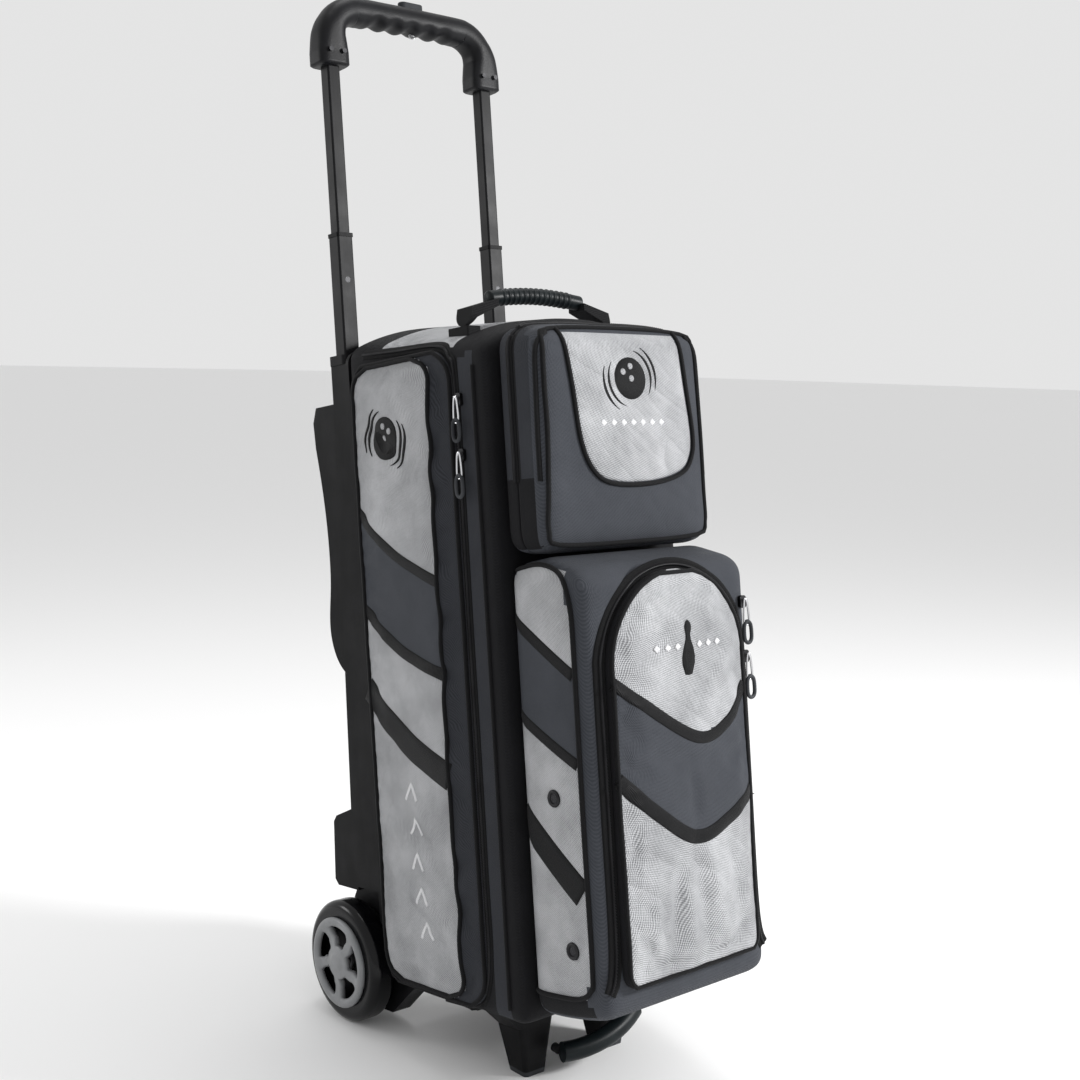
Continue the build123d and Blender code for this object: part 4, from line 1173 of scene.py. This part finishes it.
for plane, side in ((LEFT, "left"), (RIGHT, "right")):
    for k, (a, b, width) in enumerate(SHOE_SLASHES):
        end = SHOE_FRONT + 16.0 + 0.22 * width
        reach = (end - a[0]) / (b[0] - a[0])
        stop = (end, a[1] + (b[1] - a[1]) * reach)
        ribbon(f"{side}_shoe_slash_{k + 1}", shoe_tree, plane, straight_path([a, stop], 5), width, BLACK_THREAD, "bag",
               0.8, SHOE_X)
    corner = [(BODY_FRONT - 3, SHOE_TOP - 14), (-170, SHOE_TOP - 8), (-196, SHOE_TOP - 12), (SHOE_FRONT + 24, 462),
              (SHOE_FRONT + 17, 440), (SHOE_FRONT + 15.5, 400), (SHOE_FRONT + 15.5, 250), (SHOE_FRONT + 15.5, 120),
              (SHOE_FRONT + 19, 100), (SHOE_FRONT + 34, 90), (-170, 86), (BODY_FRONT - 3, 84)]
    piping(f"{side}_shoe_corner_welt", shoe_tree, plane, smooth_path(corner, 5), 2.4, "bag", SHOE_X)

hatch_ring = [(-100, 98), (-94, 112), (-HATCH_X - 5, 150), (-HATCH_X - 5, 260), (-HATCH_X - 5, 372)]
arc = [(-(HATCH_X + 5) * math.cos(a), HATCH_TOP - ARCH + (ARCH + 4) * math.sin(a))
       for a in np.linspace(0.15, math.pi - 0.15, 13)]
hatch_ring = hatch_ring + arc + [(-x, z) for x, z in reversed(hatch_ring)]
zip_along("shoe_zip", shoe_tree, FRONT, smooth_path(hatch_ring, 5), 13.0, "bag", -SHOE_FRONT, least=-SHOE_FRONT - 2)

hatch_tree = surface_of(hatch.object)
for k, chevron in enumerate(CHEVRONS):
    ribbon(f"chevron_{k + 1}", hatch_tree, FRONT, smooth_path(chevron[:-1], 5), chevron[-1], BLACK_THREAD, "shoe_door",
           0.9, HATCH_FACE)
hatch_edge = outline_path(0.0, HATCH_LOW, HATCH_TOP, hatch_half, 3.0)
piping("shoe_door_welt", hatch_tree, FRONT, hatch_edge, 2.1, "shoe_door", HATCH_FACE, closed=True)

# ---------------------------------------------------------------- zip pulls
def zip_pull(node, body, plane):
    """A bright wire loop on the slider, and a moulded ring through it that the fingers take."""
    low, high = bag_box(node)
    middle = (low + high) / 2
    u, w = {LEFT: (middle[1], -middle[0]), RIGHT: (middle[1], middle[0]), FRONT: (middle[0], -middle[1])}[plane]
    top, bottom = high[2], low[2]
    joint = top - 0.58 * (top - bottom)
    wire = [(0, top - 1.2), (2.2, top - 5), (3.6, joint + 6), (2.6, joint + 1.2), (0, joint), (-2.6, joint + 1.2),
            (-3.6, joint + 6), (-2.2, top - 5)]
    line = [lift(plane, u + a, v, w) for a, v in smooth_path(wire, 1.5, True)]
    tube(f"{node}_wire", line, 1.1, CHROME, body, closed=True)
    ring = [(0, joint + 3.4), (4.2, joint), (5.0, (joint + bottom) / 2), (3.8, bottom + 4), (0, bottom + 1.8),
            (-3.8, bottom + 4), (-5.0, (joint + bottom) / 2), (-4.2, joint)]
    line = [lift(plane, u + a, v, w + 0.8) for a, v in smooth_path(ring, 1.5, True)]
    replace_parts(tube(f"{node}_ring", line, 1.9, GREY_RUBBER, body, closed=True), node)


for pull_body, plane in (("side_pull_upper", LEFT), ("side_pull_lower", LEFT), ("accessory_pull", RIGHT),
                         ("shoe_pull_upper", FRONT), ("shoe_pull_lower", FRONT)):
    zip_pull(pull_body.replace("_pull", "_zip_pull"), pull_body, plane)

# ---------------------------------------------------------------- carry handle's ridged grip
grip_low, grip_high = bag_box("carry_grip")
grip_middle = (grip_low + grip_high) / 2
grip_half, grip_thick = grip_high[0] + 2, 7.6
grip_path = []
for k in range(141):
    x = -grip_half + 2 * grip_half * k / 140
    bow = math.cos(math.pi / 2 * x / grip_half)
    grip_path.append(Vector((x, grip_middle[1], grip_middle[2] - 1.5 + 4.5 * bow)))


def ridged(k):
    """The carry grip's radius: fine ridges all round, and smooth ends that narrow a little."""
    x = abs(grip_path[k].x)
    end = min(1.0, (grip_half - x) / 6 + 0.7)
    ridge = 0.9 * max(0.0, math.sin(2 * math.pi * grip_path[k].x / 6.4)) if x < grip_half - 14 else 0.0
    return (grip_thick + ridge) * end


handle_grip = tube("carry_grip_rubber", grip_path, ridged, SLEEVE_RUBBER, "carry_handle", sides=20)
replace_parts(handle_grip, "carry_grip")


# ---------------------------------------------------------------- the pole handle's grip
pole_low, pole_high = bag_box("grip_front_half")
back_low, back_high = bag_box("grip_back_half")
GRIP_Y = (pole_low[1] + back_high[1]) / 2
GRIP_FOOT, GRIP_CROWN = pole_low[2], pole_high[2]
tube_low, tube_high = bag_box("inner_tube_right")
SOCKET_X = (tube_low[0] + tube_high[0]) / 2


def grip_mesh():
    """One moulded hoop: two square sockets that turn into a round bar with finger scallops underneath."""
    bar_z, corner = GRIP_CROWN - 17.5, 34.0
    path = [(-SOCKET_X, GRIP_FOOT), (-SOCKET_X, GRIP_FOOT + 12), (-SOCKET_X, bar_z - corner)]
    path += [(-SOCKET_X + corner * (1 - math.cos(a)), bar_z - corner + corner * math.sin(a))
             for a in np.linspace(0.2, math.pi / 2, 7)]
    path += [(-30, bar_z + 0.3), (0, bar_z + 0.5)]
    path += [(-x, z) for x, z in reversed(path[:-1])]
    line = smooth_path(path, 2.2)
    points, faces, sides = [], [], 36
    n = len(line)
    for i, (x, z) in enumerate(line):
        a, b = neighbours(line, i)
        along = (b - a) / np.linalg.norm(b - a)
        normal = np.array((-along[1], along[0]))
        rise = min(1.0, max(0.0, (z - GRIP_FOOT - 14) / 34))
        squareness = 5.0 - 2.6 * rise
        wide = 15.0 - 0.5 * rise + 3.0 * max(0.0, 1 - rise)
        deep = 15.0 + 2.0 * rise
        inner = 0.0
        if abs(x) < 62:
            inner = 3.0 * (0.5 - 0.5 * math.cos(2 * math.pi * (x + 55) / 22.0)) * min(1.0, (62 - abs(x)) / 10)
        if i in (0, n - 1):
            wide, deep = wide - 2.0, deep - 2.0
        for k in range(sides):
            angle = 2 * math.pi * k / sides
            c, d = math.cos(angle), math.sin(angle)
            size = 1 / (abs(c) ** squareness + abs(d) ** squareness) ** (1 / squareness)
            out = c * size * wide
            if c < 0:
                out += inner * min(1.0, -c * 1.4)
            p = np.array((x, z)) + normal * out
            points.append((p[0], GRIP_Y + d * size * deep, p[1]))
    for i in range(n - 1):
        faces += band(i * sides, (i + 1) * sides, sides, True)
    faces += caps(n, sides, True)
    made = piece("pole_grip", points, faces, [GRIP_RUBBER], "grip_stage")
    fix_normals(made)
    return made


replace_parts(grip_mesh(), "grip_front_half", "grip_back_half")


# ---------------------------------------------------------------- wheel covers
def disc(name, rim, material, body):
    """A short cylinder, from the rings of points at its two ends."""
    n = len(rim) // 2
    faces = [tuple(range(n)), tuple(reversed(range(n, 2 * n)))] + band(0, n, n, True)
    fix_normals(piece(name, rim, faces, [material], body, smooth=False))


def wheel_cover(node, body, side):
    """A dished face with five windows between broad spokes, over a plain drum."""
    low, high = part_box(node)
    middle = TO_BAG @ ((low + high) / 2)
    radius = (high.z - low.z) / 2 * 1000 + 1.2
    face_x = max(abs(low.x), abs(high.x)) * 1000 + 1.0
    # How far out the face stands, at shares of its radius.
    rings = ((0.0, 2.0), (0.13, 2.0), (0.17, 0.4), (0.30, -0.6), (0.36, -1.4), (0.42, -2.4), (0.60, -3.4), (0.78, -2.4),
             (0.84, -1.2), (0.93, 0.2), (1.0, -1.0))
    count = 70
    points, faces = [(side * (face_x + rings[0][1]), middle.y, middle.z)], []
    for share, proud in rings[1:]:
        for k in range(count):
            angle = 2 * math.pi * k / count + 0.25 * share * side
            points.append((side * (face_x + proud), middle.y + radius * share * math.cos(angle),
                           middle.z + radius * share * math.sin(angle)))
    for k in range(count):
        faces.append((0, 1 + k, 1 + (k + 1) % count))
    for r in range(len(rings) - 2):
        inside_window = 0.35 < rings[r + 1][0] < 0.80
        for k in range(count):
            narrow = 1 if rings[r + 1][0] < 0.45 else 0
            if inside_window and 2 + narrow <= k % 14 < 12 - narrow:
                continue
            a, b = 1 + r * count, 1 + (r + 1) * count
            faces.append((a + k, b + k, b + (k + 1) % count, a + (k + 1) % count))
    made = piece(f"{node}_cover", points, faces, [HUB], body)
    fix_normals(made)
    thick = made.modifiers.new("Thick", "SOLIDIFY")
    thick.thickness, thick.offset = 7 * MM, -1 if side > 0 else 1
    if made.data.polygons[0].normal.x * side < 0:
        thick.offset = -thick.offset
    apply_modifiers(made)
    fix_normals(made)
    subdivide(made)
    back = [(side * (face_x - 9), middle.y + radius * math.cos(a), middle.z + radius * math.sin(a))
            for a in np.linspace(0, 2 * math.pi, 48, endpoint=False)]
    inner = [(side * (face_x - 24), y, z) for _, y, z in back]
    disc(f"{node}_drum", back + inner, PLASTIC, body)
    bolt = [Vector((side * (face_x + x), middle.y, middle.z)) for x in (-1.0, 3.0, 3.6)]
    tube(f"{node}_bolt", bolt, lambda i: (5.0, 5.0, 3.6)[i], BLACK_METAL, body, sides=6)
    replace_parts(made, node)


wheel_cover("hub_left", "wheel_left", -1)
wheel_cover("hub_right", "wheel_right", 1)

# ---------------------------------------------------------------- eyelets
eyelet_low, eyelet_high = bag_box("vent_eyelets")
EYELET_R = 7.6
EYELETS = ((eyelet_high[1] - EYELET_R, eyelet_high[2] - EYELET_R),
           (eyelet_low[1] + EYELET_R, eyelet_low[2] + EYELET_R))
eyelet_pieces = []
for plane, side in ((LEFT, "left"), (RIGHT, "right")):
    for k, (y, z) in enumerate(EYELETS):
        depth = on_surface(shoe_tree, plane, y, z, SHOE_X) + 0.6
        circle_path = [lift(plane, y + 6.2 * math.cos(a), z + 6.2 * math.sin(a), depth)
                       for a in np.linspace(0, 2 * math.pi, 32, endpoint=False)]
        eyelet_pieces.append(
            tube(f"{side}_eyelet_{k + 1}", circle_path, 1.9, BLACK_METAL, "bag", True, 10))
        mesh = [lift(plane, y + 5.6 * math.cos(a), z + 5.6 * math.sin(a), depth + 0.15 - back)
                for back in (0.0, 1.2) for a in np.linspace(0, 2 * math.pi, 24, endpoint=False)]
        disc(f"{side}_eyelet_mesh_{k + 1}", mesh, LINING, "bag")
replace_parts(eyelet_pieces[0], "vent_eyelets")

# ---------------------------------------------------------------- embroidered marks, all generic
def circle(u, v, radius, count=28):
    angles = [2 * math.pi * k / count for k in range(count)]
    return [(u + radius * math.cos(a), v + radius * math.sin(a)) for a in angles]


def turned(points, u, v, angle=0):
    """Points turned by an angle, then moved to u, v."""
    c, s = math.cos(angle), math.sin(angle)
    return [(u + a * c - b * s, v + a * s + b * c) for a, b in points]


def ball_mark(name, tree, plane, u, v, radius, angle, body, fallback, holes):
    """A bowling ball with its three finger holes, and two curved strokes that say it rolls."""
    patch(f"{name}_ball", tree, plane, circle(u, v, radius), BLACK_THREAD, body, 0.8, fallback)
    for k, (a, b) in enumerate(((-0.30, 0.42), (0.22, 0.50), (0.05, -0.02))):
        place = turned([(a * radius, b * radius)], u, v, angle)[0]
        patch(f"{name}_hole_{k + 1}", tree, plane, circle(*place, radius * 0.15, 14), holes, body, 1.5, fallback)
    strokes = ((1.28, 2.2, 4.1), (1.58, 2.45, 3.85), (1.28, -0.95, 0.95), (1.58, -0.7, 0.7))
    for k, (reach, start, stop) in enumerate(strokes):
        count = 17
        path = turned([(reach * radius * math.cos(start + (stop - start) * i / (count - 1)),
                        reach * radius * math.sin(start + (stop - start) * i / (count - 1)))
                       for i in range(count)], u, v, angle)
        widths = [0.5 + radius * 0.17 * math.sin(math.pi * i / (count - 1)) for i in range(count)]
        ribbon(f"{name}_stroke_{k + 1}", tree, plane, path, lambda i: widths[i], BLACK_THREAD, body,
               0.7, fallback)


PIN = ((0, -1.0), (0.17, -0.98), (0.30, -0.62), (0.31, -0.34), (0.24, -0.02), (0.12, 0.30), (0.10, 0.46), (0.15, 0.66),
       (0.17, 0.78), (0.11, 0.93), (0, 1.0), (-0.11, 0.93), (-0.17, 0.78), (-0.15, 0.66), (-0.10, 0.46), (-0.12, 0.30),
       (-0.24, -0.02), (-0.31, -0.34), (-0.30, -0.62), (-0.17, -0.98))
DIAMOND = ((-4, 0), (0, 3.6), (4, 0), (0, -3.6))
ARROW = ((-9, -7), (0, 9), (9, -7))
left_tree = surface_of(left_door.object)
right_tree = surface_of(right_panel.object)
for side, tree, plane, body in (("left", left_tree, LEFT, "side_door"), ("right", right_tree, RIGHT, "bag")):
    ball_mark(f"{side}_mark", tree, plane, 16, 606, 22, 0.35, body, DOOR_X, SILVER)
    for k in range(5):
        path = straight_path(turned(ARROW, 8 - 3 * k, 256 - 34 * k), 2.2)
        ribbon(f"{side}_arrow_{k + 1}", tree, plane, path, 3.2, WHITE_THREAD, body, 0.7, DOOR_X)
ball_mark("pocket_mark", pouch_tree, FRONT, 4, 644, 21, 0.35, "accessory_flap", -POUCH_FRONT, SILVER)
for k in range(7):
    patch(f"pocket_dash_{k + 1}", pouch_tree, FRONT, turned(DIAMOND, -33 + 12.3 * k, 603), WHITE_THREAD,
          "accessory_flap", 0.8, -POUCH_FRONT)
patch("shoe_mark_pin", hatch_tree, FRONT, turned([(a * 26, b * 26) for a, b in PIN], 4, 394), BLACK_THREAD,
      "shoe_door", 0.8, HATCH_FACE)
for k, u in enumerate((-34, -22, -10, 18, 30, 42)):
    patch(f"shoe_dash_{k + 1}", hatch_tree, FRONT, turned(DIAMOND, u, 396), WHITE_THREAD, "shoe_door",
          0.8, HATCH_FACE)

# ---------------------------------------------------------------- materials for the CAD nodes that stay
# Each is followed by the starts of the nodes' names that it covers. The longest start that fits counts.
NODE_MATERIALS = (
    (PLASTIC, "back_board front_leg lower_skids middle_collars pole_bezels release_bar side_rail upper_skids"
              " wheel_bracket"),
    (STEEL, "axle axle_nuts button_spring release_rods wheel_bearings"),
    (BLACK_METAL, "accessory_zip_slider bracket_bolts grip_screws lock_pins shoe_zip_sliders side_zip_sliders"
                  " vent_eyelets"),
    (LINING, "ball_rings base_tray"),
    (WEBBING, "carry_anchors carry_webbing lift_webbing"),
    (SLEEVE_RUBBER, "carry_grip lift_sleeve"),
    (GREY_RUBBER, "foot_pads release_button"),
    (GRIP_RUBBER, "grip_"),
    (HUB, "hub_"),
    (TYRE, "tyre_"),
    (TUBE_PAINT, "inner_tube middle_tube outer_tube"),
)
MATERIAL_OF = {start: material for material, starts in NODE_MATERIALS for start in starts.split()}
for node_name, node in frame["nodes"].items():
    fitting = [start for start in MATERIAL_OF if node_name.startswith(start)]
    if fitting:
        node.data.materials.clear()
        node.data.materials.append(MATERIAL_OF[max(fitting, key=len)])

# ---------------------------------------------------------------- floor, light and camera
scene = bpy.context.scene
floor_mesh = bpy.data.meshes.new("floor")
FLOOR = 60.0   # metres from the middle to each side
corners = [(x * FLOOR, y * FLOOR, 0) for x, y in ((-1, -1), (1, -1), (1, 1), (-1, 1))]
floor_mesh.from_pydata(corners, [], [(0, 1, 2, 3)])
floor = bpy.data.objects.new("floor", floor_mesh)
scene.collection.objects.link(floor)
floor_shade = Shade("pale_floor", 0.85)
floor_shade.shader.inputs["Base Color"].default_value = (0.86, 0.86, 0.86, 1)
floor_mesh.materials.append(floor_shade.material)

world = bpy.data.worlds.new("studio")
world.use_nodes = True
background = world.node_tree.nodes["Background"]
background.inputs["Color"].default_value = (1, 1, 1, 1)
background.inputs["Strength"].default_value = 0.78
scene.world = world
scene.view_settings.view_transform = "Standard"
scene.view_settings.look = "None"


def soft_light(name, place, target, size, power):
    """A round lamp that faces a place. size is in metres and power in watts."""
    lamp = bpy.data.lights.new(name, "AREA")
    lamp.shape, lamp.size, lamp.energy = "DISK", size, power
    made = bpy.data.objects.new(name, lamp)
    made.location = place
    made.rotation_euler = (Vector(target) - Vector(place)).to_track_quat("-Z", "Y").to_euler()
    scene.collection.objects.link(made)


soft_light("key", (1.6, -1.9, 1.5), (0, -0.1, 0.45), 0.6, 78)
soft_light("fill", (-1.6, 1.9, 1.1), (0, 0, 0.5), 0.8, 9)
soft_light("top", (0.2, 0.3, 2.6), (0, 0, 0.6), 1.2, 14)

# The photograph's viewpoint.
CAMERA_PLACE = (-0.9649, -1.1552, 0.6978)
LENS, SENSOR = 49.95, 36
yaw, pitch, roll = math.radians(40.2), math.radians(6.8), math.radians(1.4)
forward = Vector((math.sin(yaw) * math.cos(pitch), math.cos(yaw) * math.cos(pitch), -math.sin(pitch)))
right = Vector((math.cos(yaw), -math.sin(yaw), 0))
above = right.cross(forward)
right_rolled = right * math.cos(roll) + above * math.sin(roll)
above_rolled = -right * math.sin(roll) + above * math.cos(roll)
camera_data = bpy.data.cameras.new("camera")
camera_data.lens, camera_data.sensor_width = LENS, SENSOR
camera = bpy.data.objects.new("camera", camera_data)
turn = Matrix((right_rolled, above_rolled, -forward)).transposed().to_4x4()
camera.matrix_world = Matrix.Translation(CAMERA_PLACE) @ turn
scene.collection.objects.link(camera)
scene.camera = camera
